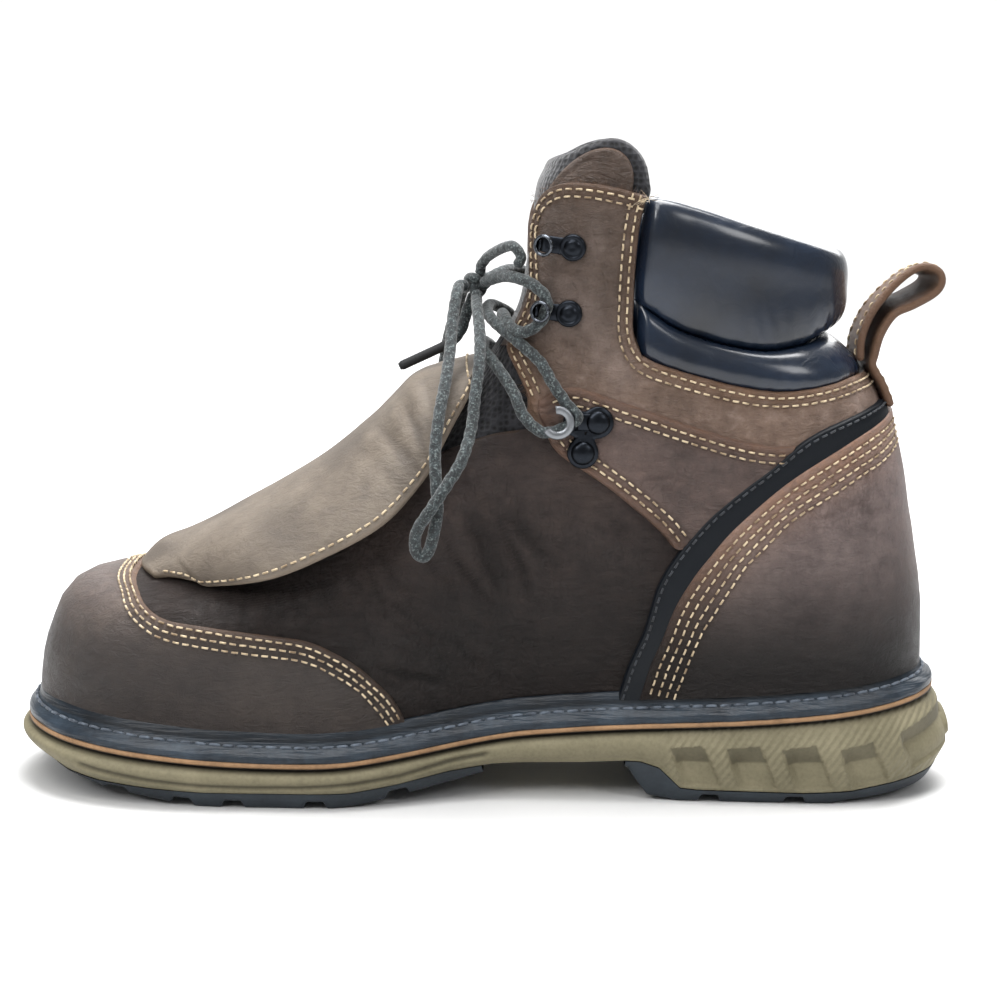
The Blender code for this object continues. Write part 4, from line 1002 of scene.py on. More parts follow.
@dataclass
class Panel:
    """Leather panel: patches of skin with turned edges and pressed seam lines."""

    name: str
    patches: Sequence[Patch]
    turned: Sequence[Knots]
    finish: Material
    base: float = 0.0
    thick: float = 0.0014
    drop: float = 0.0003
    lip: float = 0.0010
    step: float = 0.0012
    rubbed: float = 0.0
    dent: float = 0.00034
    dent_half: float = 0.0006
    seams: Sequence[Knots] = field(default_factory=list)

    def build(self) -> Object:
        """Make the panel.

        Returns:
            The object.
        """
        parts, marks = [], {"edge": [], "crease": [], "flex": []}
        lines = [self._line(knots) for knots in self.turned]
        sewn = [self._line(knots) for knots in self.seams]
        for patch in self.patches:
            grid = patch.grid(self.step, self.lip)
            turn, ring = grid[..., 0].ravel(), grid[..., 1].ravel()
            flat = LAST.flat(turn, ring)
            gap = np.full(len(flat), 1.0)
            for line in lines:
                gap = np.minimum(gap, self._gap(flat, line, max(self.lip, self.rubbed) * 3))
            bend = np.clip(1 - gap / self.lip, 0, 1)
            full = np.sqrt(1 - bend ** 2)
            pressed = np.zeros(len(flat))
            for line in sewn:
                pressed += np.exp(-(self._gap(flat, line, self.dent_half * 5) / self.dent_half) ** 2)
            worn = LAST.wear(flat)
            proud = (self.base + self.thick * full - self.drop * (1 - full)
                     - self.dent * np.minimum(pressed, 1.2) - worn)
            parts.append((flat + LAST.normal(turn, ring) * proud[:, None], quads(*grid.shape[:2])))
            rubbed = .6 * np.exp(-(gap / self.rubbed) ** 2) if self.rubbed else 0
            marks["edge"].append(np.maximum(np.clip(1 - gap / (self.lip * .8), 0, 1) * .9, rubbed))
            marks["flex"].append(LAST.flexed(flat))
            # Painted shade: the crease mark darkens worn troughs and pressed seam lines
            marks["crease"].append(np.clip(worn / MM * .9 - .3, 0, .5) + np.minimum(pressed, 1) * .45)
        made = piece(self.name, *joined(parts), self.finish,
                     {key: np.concatenate(values) for key, values in marks.items()})
        LOG.info("%s: %d faces", self.name, len(made.data.polygons))
        return made

    @staticmethod
    def _line(knots: Knots) -> Array:
        """Fine line on the skin through knots."""
        count = max(8, int(LAST.length_of(knots) / .0015))
        line = LAST.trace(knots, np.linspace(0, 1, count))
        return LAST.flat(line[:, 0], line[:, 1])

    @staticmethod
    def _gap(points: Array, line: Array, reach: float) -> Array:
        """Distance to a line, worked out only near its box.

        Args:
            points: Points, one per row.
            line: Corners of the line.
            reach: Distance beyond which the answer doesn't matter.

        Returns:
            Distances, 1 where they are beyond reach.
        """
        near = ((points > line.min(0) - reach) & (points < line.max(0) + reach)).all(1)
        gap = np.full(len(points), 1.0)
        if near.any():
            gap[near] = to_lines(points[near], line)[0]
        return gap


def slab(name: str, middle: Array, thickness: float, finishes: Sequence[Material],
         marks: dict[str, Array] | None = None) -> Object:
    """Closed sheet of even thickness with a rounded rim, on a grid of points.

    Args:
        name: Name of the piece.
        middle: Grid of points in the middle of the thickness.
        thickness: Thickness in metres.
        finishes: Materials of outside, inside and rim.
        marks: Named values of the outside, one per grid point.

    Returns:
        The object.
    """
    rows, columns = middle.shape[:2]
    by_row, by_column = np.gradient(middle, axis=0), np.gradient(middle, axis=1)
    normal = normalised(np.cross(by_column, by_row))
    top, under = middle + normal * thickness / 2, middle - normal * thickness / 2
    index = np.arange(rows * columns).reshape(rows, columns)
    loop = np.concatenate([index[0, :], index[1:, -1], index[-1, -2::-1], index[-2:0:-1, 0]])
    border = middle.reshape(-1, 3)[loop]
    way = normalised(np.roll(border, -1, 0) - np.roll(border, 1, 0))
    out = normalised(np.cross(way, normal.reshape(-1, 3)[loop]))
    points = [top.reshape(-1, 3), under.reshape(-1, 3)]
    rings = [loop]
    first = 2 * rows * columns
    for angle in np.linspace(0, np.pi, 7)[1:-1]:
        points.append(border + (normal.reshape(-1, 3)[loop] * math.cos(angle)
                                + out * math.sin(angle)) * thickness / 2)
        rings.append(np.arange(len(loop)) + first)
        first += len(loop)
    rings.append(loop + rows * columns)
    outside = quads(rows, columns)
    inside = quads(rows, columns, first=rows * columns)[:, ::-1]
    rim = []
    for low, high in zip(rings, rings[1:]):
        rim.append(np.stack([low, high, np.roll(high, -1), np.roll(low, -1)], 1))
    rim = np.vstack(rim)
    points = np.vstack(points)
    full = {}
    for key in ("edge", "crease"):
        values = np.zeros(len(points))
        if marks and key in marks:
            values[:rows * columns] = np.asarray(marks[key]).ravel()
        if key == "edge":
            values[2 * rows * columns:] = .9
        full[key] = values
    made = piece(name, points, np.vstack([outside, inside, rim]), finishes[0], full)
    for finish in finishes[1:]:
        made.data.materials.append(finish)
    slots = np.concatenate([np.zeros(len(outside), int), np.full(len(inside), min(1, len(finishes) - 1)),
                            np.full(len(rim), min(2, len(finishes) - 1))])
    made.data.polygons.foreach_set("material_index", slots)
    return made


def sewn_row(line: Array, normals: Array, pitch: float, thick: float,
             fill: float = .70) -> tuple[Array, Array]:
    """Separate stitches along a line, each an arched thread that dips into the leather.

    Args:
        line: Fine points of the line.
        normals: Outward normals at them.
        pitch: Distance from hole to hole in metres.
        thick: Thickness of the thread.
        fill: Share of the pitch that shows as thread.

    Returns:
        Vertices and quads.
    """
    cum = run_of(line)
    count = max(1, int(cum[-1] / pitch))
    shape = np.array([(-.5, -.75), (-.42, .10), (-.2, .42), (.2, .42), (.42, .10), (.5, -.75)])
    ring = circle(6)
    parts = []
    for k in range(count):
        middle = (k + .5) * cum[-1] / count
        slip = .12 * math.sin(k * 2.4)
        at = middle + shape[:, 0] * pitch * fill
        spots = np.stack([np.interp(at, cum, line[:, j]) for j in range(3)], 1)
        up = normalised(np.stack([np.interp(at, cum, normals[:, j]) for j in range(3)], 1))
        way = normalised(np.gradient(spots, axis=0))
        across = normalised(np.cross(way, up))
        spots = spots + up * (shape[:, 1] * thick)[:, None]
        spots = spots + across * (np.linspace(-slip, slip, 6) * thick)[:, None]
        thread = (spots[:, None] + across[:, None] * (np.cos(ring) * thick / 2)[None, :, None]
                  + up[:, None] * (np.sin(ring) * thick / 2)[None, :, None])
        parts.append((thread.reshape(-1, 3), quads(6, 6, wrap=True)))
    return joined(parts)


class Seams:
    """Rows of stitches, gathered by thread so that each thread makes one piece."""

    def __init__(self) -> None:
        """Start with no rows."""
        self.rows: dict[str, list[tuple[Array, Array]]] = {}
        self.finish: dict[str, Material] = {}

    def on_line(self, name: str, finish: Material, line: Array, normals: Array,
                pitch: float = .0031, thick: float = .00066, fill: float = .70) -> None:
        """Sew along points in space.

        Args:
            name: Piece that the stitches join.
            finish: Thread.
            line: Fine points of the line.
            normals: Normals at them.
            pitch: Distance from hole to hole.
            thick: Thickness of the thread.
            fill: Share of the pitch that shows.
        """
        self.finish[name] = finish
        self.rows.setdefault(name, []).append(sewn_row(line, normals, pitch, thick, fill))

    def on_skin(self, name: str, finish: Material, knots: Knots, proud: float,
                pitch: float = .0031, thick: float = .00066) -> None:
        """Sew along knots of turn and ring.

        Args:
            name: Piece that the stitches join.
            finish: Thread.
            knots: The seam.
            proud: Height of the leather there.
            pitch: Distance from hole to hole.
            thick: Thickness of the thread.
        """
        count = max(6, int(LAST.length_of(knots) / .0006))
        line = LAST.trace(knots, np.linspace(0, 1, count))
        self.on_line(name, finish, LAST.skin(line[:, 0], line[:, 1], proud),
                     LAST.normal(line[:, 0], line[:, 1]), pitch, thick)

    def build(self) -> None:
        """Make one piece per name."""
        for name, rows in self.rows.items():
            made = piece(name, *joined(rows), self.finish[name])
            LOG.info("%s: %d faces", name, len(made.data.polygons))


@dataclass
class Fibres:
    """Loose hairs and frayed thread along raw edges."""

    name: str
    finish: Material
    thick: float = .00013

    def __post_init__(self) -> None:
        """Start with no hairs."""
        self.hairs: list[tuple[Array, Array]] = []
        self.dice = np.random.default_rng(7)

    def along(self, line: Array, normals: Array, count: int, length: float) -> None:
        """Scatter hairs along a line.

        Args:
            line: Fine points of the line.
            normals: Outward normals at them.
            count: Number of hairs.
            length: Usual length in metres.
        """
        for index in self.dice.integers(1, len(line) - 1, count):
            way = normalised(normals[index] + self.dice.normal(0, .55, 3))
            bend = self.dice.normal(0, .45, 3)
            reach = length * self.dice.uniform(.4, 1.3)
            t = np.linspace(0, 1, 5)[:, None]
            path = line[index] + way * t * reach + bend * t ** 2 * reach
            across = normalised(np.cross(way, (.3, .5, .8)))
            up = np.cross(way, across)
            angle = circle(3)
            radius = self.thick / 2 * (1 - .6 * t)
            hair = (path[:, None] + across * np.cos(angle)[None, :, None] * radius[..., None]
                    + up * np.sin(angle)[None, :, None] * radius[..., None])
            self.hairs.append((hair.reshape(-1, 3), quads(5, 3, wrap=True)))

    def build(self) -> None:
        """Make the hairs one piece."""
        piece(self.name, *joined(self.hairs), self.finish)


# Laces


def tube(path: Array, across: Array, up: Array, radius: Array) -> tuple[Array, Array]:
    """Closed tube round a path.

    Args:
        path: Points.
        across: Directions across the path, one per point or one in all.
        up: Directions square to both.
        radius: Radii, a row per point and a column per side.

    Returns:
        Vertices and quads, the last two vertices in the middle of the ends.
    """
    rows, sides = radius.shape
    angle = circle(sides)[None, :]
    ring = (path[:, None] + across[:, None] * (np.cos(angle) * radius)[..., None]
            + up[:, None] * (np.sin(angle) * radius)[..., None])
    faces = [quads(rows, sides, wrap=True)]
    for loop, middle in ((np.arange(sides)[::-1], 0), (np.arange(sides) + (rows - 1) * sides, 1)):
        hub = np.full(sides, rows * sides + middle)
        faces.append(np.stack([loop, np.roll(loop, -1), hub, hub], 1))
    return np.vstack([ring.reshape(-1, 3), path[:1], path[-1:]]), np.vstack(faces)


@dataclass
class Laces:
    """Round braided lace: the stretch through the hooks, the knot, its loops and its two ends."""

    finishes: Finishes
    diameter: float = 0.0038
    aglet: float = 0.0037
    strands: int = 6
    sides: int = 20
    lay: float = 0.0042
    knot_at: tuple[float, float, float] = (-.0060, 0.0, .1620)
    knot_size: tuple[float, float, float] = (.0050, .0056, .0044)
    clear: float = 0.0003

    HOOKED = [(.24, 16.5, 5.0), (.42, 16.55, 4.6), (.58, 16.5, 4.3), (.70, 16.34, 4.1),
              (.75, 16.15, 3.9), (.758, 15.95, 3.9), (.745, 15.68, 4.0), (.67, 15.45, 4.1),
              (.56, 15.47, 3.6), (.40, 15.64, 2.0)]
    UNDER = [(.2, 15.74, -.2), (0, 15.74, -.8), (-.2, 15.66, -.2), (-.4, 15.5, 2.0)]
    OVER = [(.2, 15.74, 4.4), (0, 15.70, 4.5), (-.2, 15.62, 4.4), (-.4, 15.48, 4.0)]
    DROP = [(-.62, 15.25, 3.2), (-.85, 14.85, 3.6), (-.98, 14.4, 4.6), (-1.10, 13.98, 5.0),
            (-1.20, 13.62, 5.4), (-1.12, 13.28, 5.0)]
    BAR = [(-.97, 13.6, 4.6), (-.80, 14.15, 3.4), (-.58, 14.65, 3.0), (-.33, 14.95, 2.2),
           (0, 15.05, -.6)]
    LEAVE = {"hook": (.45, -.87, .20), "ear": (.15, -.25, .95), "bow": (-.857, -.504, -.10),
             "bow_back": (-.05, -.72, -.69), "end_near": (-.35, .05, -.93),
             "end_far": (-.52, .83, -.21)}
    EAR = [(-.0028, -.0060, .1712), (.0018, -.0165, .1744), (.0052, -.0222, .1752),
           (.0076, -.0240, .1720), (.0062, -.0222, .1690)]
    BOW = [(-.0128, -.0080, .1585), (-.0138, -.0140, .1510), (-.0142, -.0215, .1425),
           (-.0152, -.0310, .1335), (-.0168, -.0385, .1240), (-.0178, -.0440, .1130),
           (-.0172, -.0480, .1035), (-.0166, -.0500, .0955), (-.0176, -.0500, .0885),
           (-.0190, -.0490, .0830), (-.0210, -.0485, .0805), (-.0232, -.0490, .0830),
           (-.0228, -.0510, .0890), (-.0188, -.0540, .0960), (-.0140, -.0530, .1035),
           (-.0095, -.0500, .1110), (-.0068, -.0440, .1200), (-.0058, -.0385, .1300),
           (-.0048, -.0335, .1390), (-.0048, -.0260, .1465), (-.0056, -.0165, .1530),
           (-.0062, -.0090, .1558)]
    END_NEAR = [(-.0095, -.0012, .1530), (-.0108, -.0024, .1482), (-.0128, -.0034, .1449),
                (-.0150, -.0036, .1432)]
    AGLET_NEAR = [(-.0156, -.0035, .1423), (-.0310, -.0030, .1348)]
    END_FAR = [(-.0110, .0110, .1595), (-.0130, .0170, .1530), (-.0155, .0260, .1450),
               (-.0175, .0355, .1345), (-.0185, .0435, .1230), (-.0190, .0475, .1130)]
    AGLET_FAR = [(-.0191, .0478, .1121), (-.0200, .0505, .0965)]

    def leave(self, way: str) -> list[Array]:
        """First points of a cord that leaves the knot.

        Args:
            way: Name of its direction.

        Returns:
            Three points, from inside the knot outward.
        """
        direction = normalised(np.array(self.LEAVE[way]))
        radius = 1 / math.sqrt(((direction / np.array(self.knot_size)) ** 2).sum())
        return [np.array(self.knot_at) + direction * (radius + away)
                for away in (-.0016, self.clear, self.diameter / 2)]

    def cord(self, name: str, path: Array, diameter: float) -> Object:
        """Braided tube along a path.

        Args:
            name: Name of the piece.
            path: Evenly spaced points.
            diameter: Diameter over the braid.

        Returns:
            The object.
        """
        way = normalised(np.gradient(path, axis=0))
        across = np.zeros_like(path)
        across[0] = normalised(np.cross(way[0], (.3, .9, .2)))
        for k in range(1, len(path)):
            carried = across[k - 1] - way[k] * (across[k - 1] @ way[k])
            across[k] = normalised(carried)
        up = np.cross(way, across)
        angle = circle(self.sides)[None, :]
        run = run_of(path)[:, None]
        twist = run * 2 * np.pi / self.lay
        braid = np.maximum(np.cos(self.strands / 2 * angle + twist), np.cos(self.strands / 2 * angle - twist))
        radius = diameter / 2 * (.94 + .06 * braid)
        ends = np.minimum(run, run[-1] - run) / (diameter * .3)
        radius = radius * np.sqrt(np.clip(ends, .25, 1))
        points, faces = tube(path, across, up, radius)
        # Painted shade in the grooves between the braid's strands
        groove = np.concatenate([np.clip((.2 - braid) * .8, 0, .8).ravel(), [0, 0]])
        return piece(name, points, faces, self.finishes.lace, {"crease": groove})

    def tip(self, name: str, ends: Sequence[tuple[float, float, float]]) -> Object:
        """Rolled plastic aglet on a lace's end.

        Args:
            name: Name of the piece.
            ends: Its two ends.

        Returns:
            The object.
        """
        path = smooth_line(ends, .0004)
        way = normalised(path[-1] - path[0])
        across = normalised(np.cross(way, (0, 1, .1)))
        up = np.cross(way, across)
        share = np.linspace(0, 1, len(path))
        radius = self.aglet / 2 * (.86 + .10 * np.exp(-(share * 12) ** 2)
                                   - .22 * smoothstep(.93, 1.0, share) - .03 * np.sin(share * 40) ** 8)
        points, faces = tube(path, across[None], up[None], np.repeat(radius[:, None], 16, 1))
        return piece(name, points, faces, self.finishes.dark)

    def build(self) -> None:
        near = self.leave("hook") + [LAST.flat(t, r) + LAST.normal(t, r) * p * MM
                                     for t, r, p in self.HOOKED + self.UNDER + self.DROP + self.BAR]
        far = [p * (1, -1, 1) for p in self.leave("hook")]
        far += [LAST.flat(-t, r) + LAST.normal(-t, r) * p * MM
                for t, r, p in self.HOOKED + self.OVER + self.DROP + self.BAR[:-1]]
        through = self.cord("lace_through_hooks", smooth_line(near + far[::-1], .0005), self.diameter)
        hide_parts("lace_crossings")

        t = np.linspace(0, 2 * np.pi, 140)
        wraps = np.stack([(np.sin(t) + 1.5 * np.sin(2 * t)) * .00135, -np.sin(3 * t) * .0019,
                          (np.cos(t) - 1.5 * np.cos(2 * t)) * .00120], 1)
        knot = self.cord("lace_knot_wraps", wraps + np.array(self.knot_at), self.diameter * .95)
        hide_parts("lace_knot")

        routes = {
            "ear": (self.leave("ear") + self.EAR, self.diameter * .9, ("lace_ear",), None),
            "bow": (self.leave("bow") + self.BOW + self.leave("bow_back")[::-1], self.diameter,
                    ("lace_bow",), None),
            "end_inner": (self.leave("end_near") + self.END_NEAR, self.diameter,
                          ("lace_end_inner",), self.AGLET_NEAR),
            "end_outer": (self.leave("end_far") + self.END_FAR, self.diameter,
                          ("lace_end_outer",), self.AGLET_FAR),
        }
        for name, (route, diameter, nodes, tip) in routes.items():
            path = smooth_line(route, .0005)
            made = self.cord(f"lace_{name}_braid", path, diameter)
            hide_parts(*nodes)
            if tip:
                aglet = self.tip(f"aglet_{name}_rolled", tip)
                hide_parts(nodes[0].replace("lace_end", "aglet"))


# Sole


@dataclass
class Sole:
    """Storm welt, runner strip, moulded midsole with heel windows, and lugged tread."""

    finishes: Finishes
    seams: Seams
    stations: int = 860
    tread_depth: float = 0.0024
    lug_gap: float = 0.0062
    nose: float = 0.245
    bluntness: float = 2.3
    tail: float = 0.155

    OUTLINE = (.494, .368, .352)
    FOREFOOT = np.array([(0, .30), (.02, .262), (.04, .213), (.07, .152), (.10, .110), (.155, .052),
                         (.18, .022), (.205, 0), (.345, 0), (.37, .02), (.41, .085), (.44, .135),
                         (.47, .19), (.50, .255)])
    HEEL = np.array([(.647, .31), (.655, .20), (.668, .05), (.70, 0), (.86, 0), (.88, .03),
                     (.905, .05), (.93, .07), (.955, .10), (.985, .15), (1, .20)])
    GROOVES = (.102, .178, .238, .330, .420)
    HEEL_GROOVES = (.733, .822)
    # Heel windows in millimetres: top corners, bottom corners, each front then back, heights of the
    # front corners, and slopes of the top and bottom edges
    WINDOWS = ((57.5, 68.6, 62.6, 75.2, 18.5, 5.2, .08, .00),
               (75.0, 86.9, 80.6, 92.9, 18.6, 4.8, .10, .00),
               (92.8, 104.4, 98.6, 111.0, 18.6, 4.7, .16, .03),
               (111.4, 122.9, 116.8, 129.6, 18.9, 5.4, .22, .14),
               (131.0, 150.5, 136.5, 153.0, 23.2, 10.0, .36, .34))
    GROOVE_LINE = [(-127.7, 12.0), (-122.3, 11.1), (-105.5, 9.0), (-89.3, 7.8), (-73.6, 7.4),
                   (-58.0, 7.7), (-42.5, 8.6), (-27.0, 10.4), (-11.5, 14.0), (-.6, 15.4)]

    def turns(self, count: int) -> Array:
        """Turns evenly spaced along the outline.

        Args:
            count: Number of stations round the sole.

        Returns:
            The turns, from 0 to just under a full turn.
        """
        fine = np.linspace(0, 2 * np.pi, 4000)
        line = self.plan(fine, .004, .998, 0)
        # Stations stand twice as close round the heel, where the windows are
        steps_along = np.linalg.norm(np.diff(line, axis=0), axis=1)
        steps_along = steps_along * (1 + 1.2 * smoothstep(.045, .055, line[:-1, 0]))
        run = np.concatenate([[0], np.cumsum(steps_along)])
        return np.interp(np.linspace(0, run[-1], count + 1)[:-1], run, fine)

    def plan(self, turn: Array, front: Any, back: Any, grow: Any) -> Array:
        """Outline in plan.

        Args:
            turn: Turns round the sole.
            front: Share where it starts.
            back: Share where it ends.
            grow: Metres to widen it by.

        Returns:
            Points of x and y.
        """
        share = front + (back - front) * (1 - np.cos(turn)) / 2
        widths = [w + grow / LAST.width for w in self.OUTLINE]
        width = LAST.half_width(share, front, back, widths, self.nose, self.bluntness, self.tail)
        side = np.where(np.sin(turn) > 0, -1.0, 1.0)
        return np.stack([(share - .5) * LAST.length, ease(CENTRE, share) * LAST.width + side * width], -1)

    def band(self, name: str, rows: Sequence[Array], finish: Material, marks: dict[str, Any]) -> Object:
        """Make a piece of closed rings round the sole.

        Args:
            name: Name of the piece.
            rows: Rings of points.
            finish: Its material.
            marks: Named values, a row per ring.

        Returns:
            The object.
        """
        return piece(name, np.vstack(rows), quads(len(rows), len(rows[0]), wrap=True), finish,
                     {key: np.concatenate(values) for key, values in marks.items()})

    def outward(self, ring: Array) -> Array:
        """Outward directions in plan of a closed ring of points."""
        way = np.roll(ring, -1, 0) - np.roll(ring, 1, 0)
        return normalised(np.stack([way[:, 1], -way[:, 0]], 1))

    def midsole(self) -> Object:
        """Moulded midsole with its side groove, top line, heel windows and knurled ribs.

        Returns:
            The object.
        """
        turn = self.turns(self.stations)
        levels = np.array([(0, .020, .988, -2.2), (.35, .004, 1.0, .2), (.7, 0, .992, .6),
                           (1, .010, .978, -1.2)])
        rows, painted_shade_marks, knurl = [], [], []
        line = np.array(self.GROOVE_LINE) * MM
        for v in np.linspace(0, 1, 46):
            front, back, grow = (float(follow(levels[:, [0, k]], v)) for k in (1, 2, 3))
            plan = self.plan(turn, front, back, grow * MM)
            share = plan[:, 0] / LAST.length + .5
            low, high = LAST.rubber(share), LAST.rand(share)
            height = low + (high - low) * v
            seen = np.stack([plan[:, 0], height], 1)
            gap, _ = to_lines(seen, line)
            dent = .0011 * np.exp(-(gap / .0009) ** 2)
            below = np.exp(-(to_lines(seen + (0, .0021), line)[0] / .0013) ** 2)
            dent -= .0005 * below
            top_gap = (high - height) / .0016
            lip = np.exp(-(top_gap / .55) ** 2)
            dent += .0009 * lip
            window, rib, soil_and_shade = self.window(plan[:, 0] / MM, height / MM)
            dent += window * MM
            moved = plan - self.outward(plan) * dent[:, None]
            rows.append(np.column_stack([moved, height]))
            # Painted shade in the side groove, under the lip below the runner and welt, and on the windows'
            # upper facets
            painted_shade_marks.append(np.clip(.6 * np.exp(-(gap / .0007) ** 2) + 1.1 * lip + soil_and_shade, 0, 1))
            knurl.append(rib)
        # Underside of the waist
        inner = self.plan(turn, .030, .980, -.006)
        share = inner[:, 0] / LAST.length + .5
        middle = ease(CENTRE, share) * LAST.width
        for across in (inner[:, 1], middle):
            rows.insert(0, np.column_stack([inner[:, 0], across, LAST.rubber(share)]))
            painted_shade_marks.insert(0, np.zeros(len(turn)))
            knurl.insert(0, np.zeros(len(turn)))
        # Shelf under the welt, painted fully in shade
        shelf = self.plan(turn, .030, .960, -.008)
        share = shelf[:, 0] / LAST.length + .5
        rows.append(np.column_stack([shelf, LAST.rand(share)]))
        painted_shade_marks.append(np.ones(len(turn)))
        knurl.append(np.zeros(len(turn)))
        made = self.band("midsole_moulded", rows, self.finishes.midsole,
                         {"crease": painted_shade_marks, "knurl": knurl})
        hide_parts("midsole")
        return made

    def window(self, x: Array, z: Array) -> tuple[Array, Array, Array]:
        """Depth of the heel windows in millimetres, where the ribs are knurled, and the painted shade.

        Args:
            x: Places along the boot in millimetres.
            z: Heights in millimetres.

        Returns:
            Depths, the share of knurling and the share of painted shade on the windows' upper facets.
        """
        depth = np.zeros(len(x))
        shade = np.zeros(len(x))
        for top_a, top_b, low_a, low_b, high, low, rise, tilt in self.WINDOWS:
            roof, foot = high + rise * (x - top_a), low + tilt * (x - low_a)
            up = (z - foot) / (roof - foot)
            left = low_a + (top_a - low_a) * up
            right = low_b + (top_b - low_b) * up
            inside = np.clip((x - left) / 2.8, 0, 1) * smoothstep(0, .4, right - x)
            inside = inside * (1 - .55 * np.clip((x - left) / (right - left), 0, 1))
            inside = inside * smoothstep(0, .04, up) * smoothstep(0, .02, 1 - up)
            fall = np.minimum((1 - up) / .40, .30 + .70 * up / .60)
            cut = 4.4 * np.clip(fall, 0, 1) * inside
            depth = np.maximum(depth, cut)
            # Painted shade on each window's upper facet, which faces down
            shade = np.maximum(shade, (inside > .3) * smoothstep(.57, .61, up) * .42)
        rib = smoothstep(54, 58, x) * (depth < .15) * smoothstep(4, 7, z)
        return depth, rib, shade

    def runner(self) -> Object:
        """Ground leatherboard strip between midsole and welt.

        Returns:
            The object.
        """
        turn = self.turns(self.stations)
        # Growth in millimetres, share of the strip's height, and painted shade in the gaps below and above
        # the strip
        profile = [(-3.0, -.1, 1), (-.9, -.02, 1), (-.7, .14, 1), (-.1, .26, .5), (.25, .5, 0), (.1, .9, 0),
                   (-.2, 1.05, .4), (-3, 1.1, 1)]
        rows, soil_and_shade = [], []
        for grow, part, dark in profile:
            plan = self.plan(turn, .0065, .9795, grow * MM)
            share = plan[:, 0] / LAST.length + .5
            rows.append(np.column_stack([plan, LAST.rand(share) + LAST.clear + LAST.runner * part]))
            soil_and_shade.append(np.full(len(plan), float(dark)))
        made = self.band("runner_ground", rows, self.finishes.runner, {"crease": soil_and_shade})
        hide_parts("midsole_runner")
        return made

    def welt(self) -> Object:
        """Storm welt with a trimmed edge, a stitch channel and a rounded bead at the leather.

        Returns:
            The object.
        """
        turn = self.turns(self.stations)
        edge = self.plan(turn, .007, .979, 0)
        share = edge[:, 0] / LAST.length + .5
        foot = LAST.rand(share) + LAST.runner + LAST.clear
        wall = LAST.flat(turn, np.full(len(turn), 1.0))
        # Inward share of the way to the leather, and height in millimetres
        profile = [(.45, -.1), (.06, -.05), (0, .25), (-.02, 1.2), (0, 2.1), (.03, 2.5), (.12, 3.0),
                   (.25, 3.7), (.35, 4.3), (.39, 4.5), (.42, 4.15), (.46, 4.1), (.49, 4.5), (.53, 5.0),
                   (.58, 5.5), (.60, 5.9), (.615, 6.6), (.65, 7.5), (.72, 8.5), (.80, 9.1), (.88, 9.4),
                   (.95, 9.3), (1.0, 8.9), (1.03, 8.0)]
        rows, dirt_and_shade = [], []
        for inward, height in profile:
            plan = edge + (wall[:, :2] - edge) * inward
            wave = .00012 * np.sin(np.arange(len(turn)) * .31 + inward * 9)
            rows.append(np.column_stack([plan, foot + height * MM + wave * (inward < .4)]))
            # The crease mark paints shade into the stitch channel and the groove before the bead, and paints
            # the bead a darker tone than the trimmed ledge
            dirt_and_shade.append(np.full(len(turn), .8 * math.exp(-((inward - .44) / .03) ** 2)
                                + .6 * math.exp(-((inward - .60) / .015) ** 2) + .55 * (inward > .61)))
        made = self.band("welt_trimmed", rows, self.finishes.welt, {"crease": dirt_and_shade})
        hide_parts("welt")
        # The stitches lie in the channel
        line = np.column_stack([edge + (wall[:, :2] - edge) * .44, foot + 4.35 * MM])
        line = np.vstack([line, line[:1]])
        out = self.outward(edge)
        up = normalised(np.column_stack([out, np.full(len(out), 1.1)]))
        self.seams.on_line("welt_stitches", self.finishes.dull_thread, line, np.vstack([up, up[:1]]),
                           .0044, .0010, .86)
        return made

    def tread(self, name: str, node: str, ground: Array, start_at: float, end_at: float,
              grooves: Sequence[float]) -> Object:
        """Lugged tread rubber as one skin from wall to wall.

        Args:
            name: Name of the piece.
            node: Solid that it stands for.
            ground: Height of its underside.
            start_at: Share where it starts.
            end_at: Share where it ends.
            grooves: Shares of the cross grooves.

        Returns:
            The object.
        """
        low, high = math.acos(1 - 2 * start_at), math.acos(1 - 2 * end_at)
        along = (1 - np.cos(np.linspace(low, high, 330))) / 2
        lateral = np.concatenate([[-1, -1, -1, -1, -.995], np.linspace(-.98, .98, 84), [.995, 1, 1, 1, 1]])
        lift = np.concatenate([[1, .7, .4, .12, 0], np.zeros(84), [0, .12, .4, .7, 1]])
        rows = []
        for side, rise in zip(lateral, lift):
            front, back = .030 - .010 * rise, .982 + .006 * rise
            grow = -.004 + .0018 * min(1, rise * 1.4)
            share = front + (back - front) * along
            widths = [w + grow / LAST.width for w in self.OUTLINE]
            width = LAST.half_width(share, front, back, widths, self.nose, self.bluntness, self.tail)
            x, y = (share - .5) * LAST.length, ease(CENTRE, share) * LAST.width + side * width
            base = np.interp(share, ground[:, 0], ground[:, 1]) * LAST.sole_height
            roof = LAST.rubber(share) - LAST.clear
            cut = np.zeros(len(share))
            for index, groove in enumerate(grooves):
                slant = (.12 - .05 * index) * (1 if start_at < .5 else 0)
                away = np.abs(x - (groove - .5) * LAST.length + y * slant)
                cut = np.maximum(cut, smoothstep(self.lug_gap * .62, self.lug_gap * .38, away))
            channel = np.abs(y - .006 * np.sin(x * 90)) if start_at < .5 else np.ones(len(x))
            cut = np.maximum(cut, smoothstep(.0034, .0024, channel) * (rise < .01))
            depth = np.minimum(self.tread_depth, (roof - base) * .75)
            height = base + (roof - base) * rise
            height = np.maximum(height, base + cut * depth)
            rows.append(np.stack([x, y, height], 1))
        grid = np.stack(rows)
        made = piece(name, grid.reshape(-1, 3), quads(*grid.shape[:2])[:, ::-1], self.finishes.tread,
                     {"crease": np.zeros(grid.shape[0] * grid.shape[1])})
        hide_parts(node)
        return made

    def build(self) -> None:
        """Make every layer."""
        self.midsole()
        self.runner()
        self.welt()
        self.tread("tread_forefoot", "outsole_forefoot", self.FOREFOOT, 0, .49, self.GROOVES)
        self.tread("tread_heel", "outsole_heel", self.HEEL, .645, 1, self.HEEL_GROOVES)
        LOG.info("sole made")


# Upper


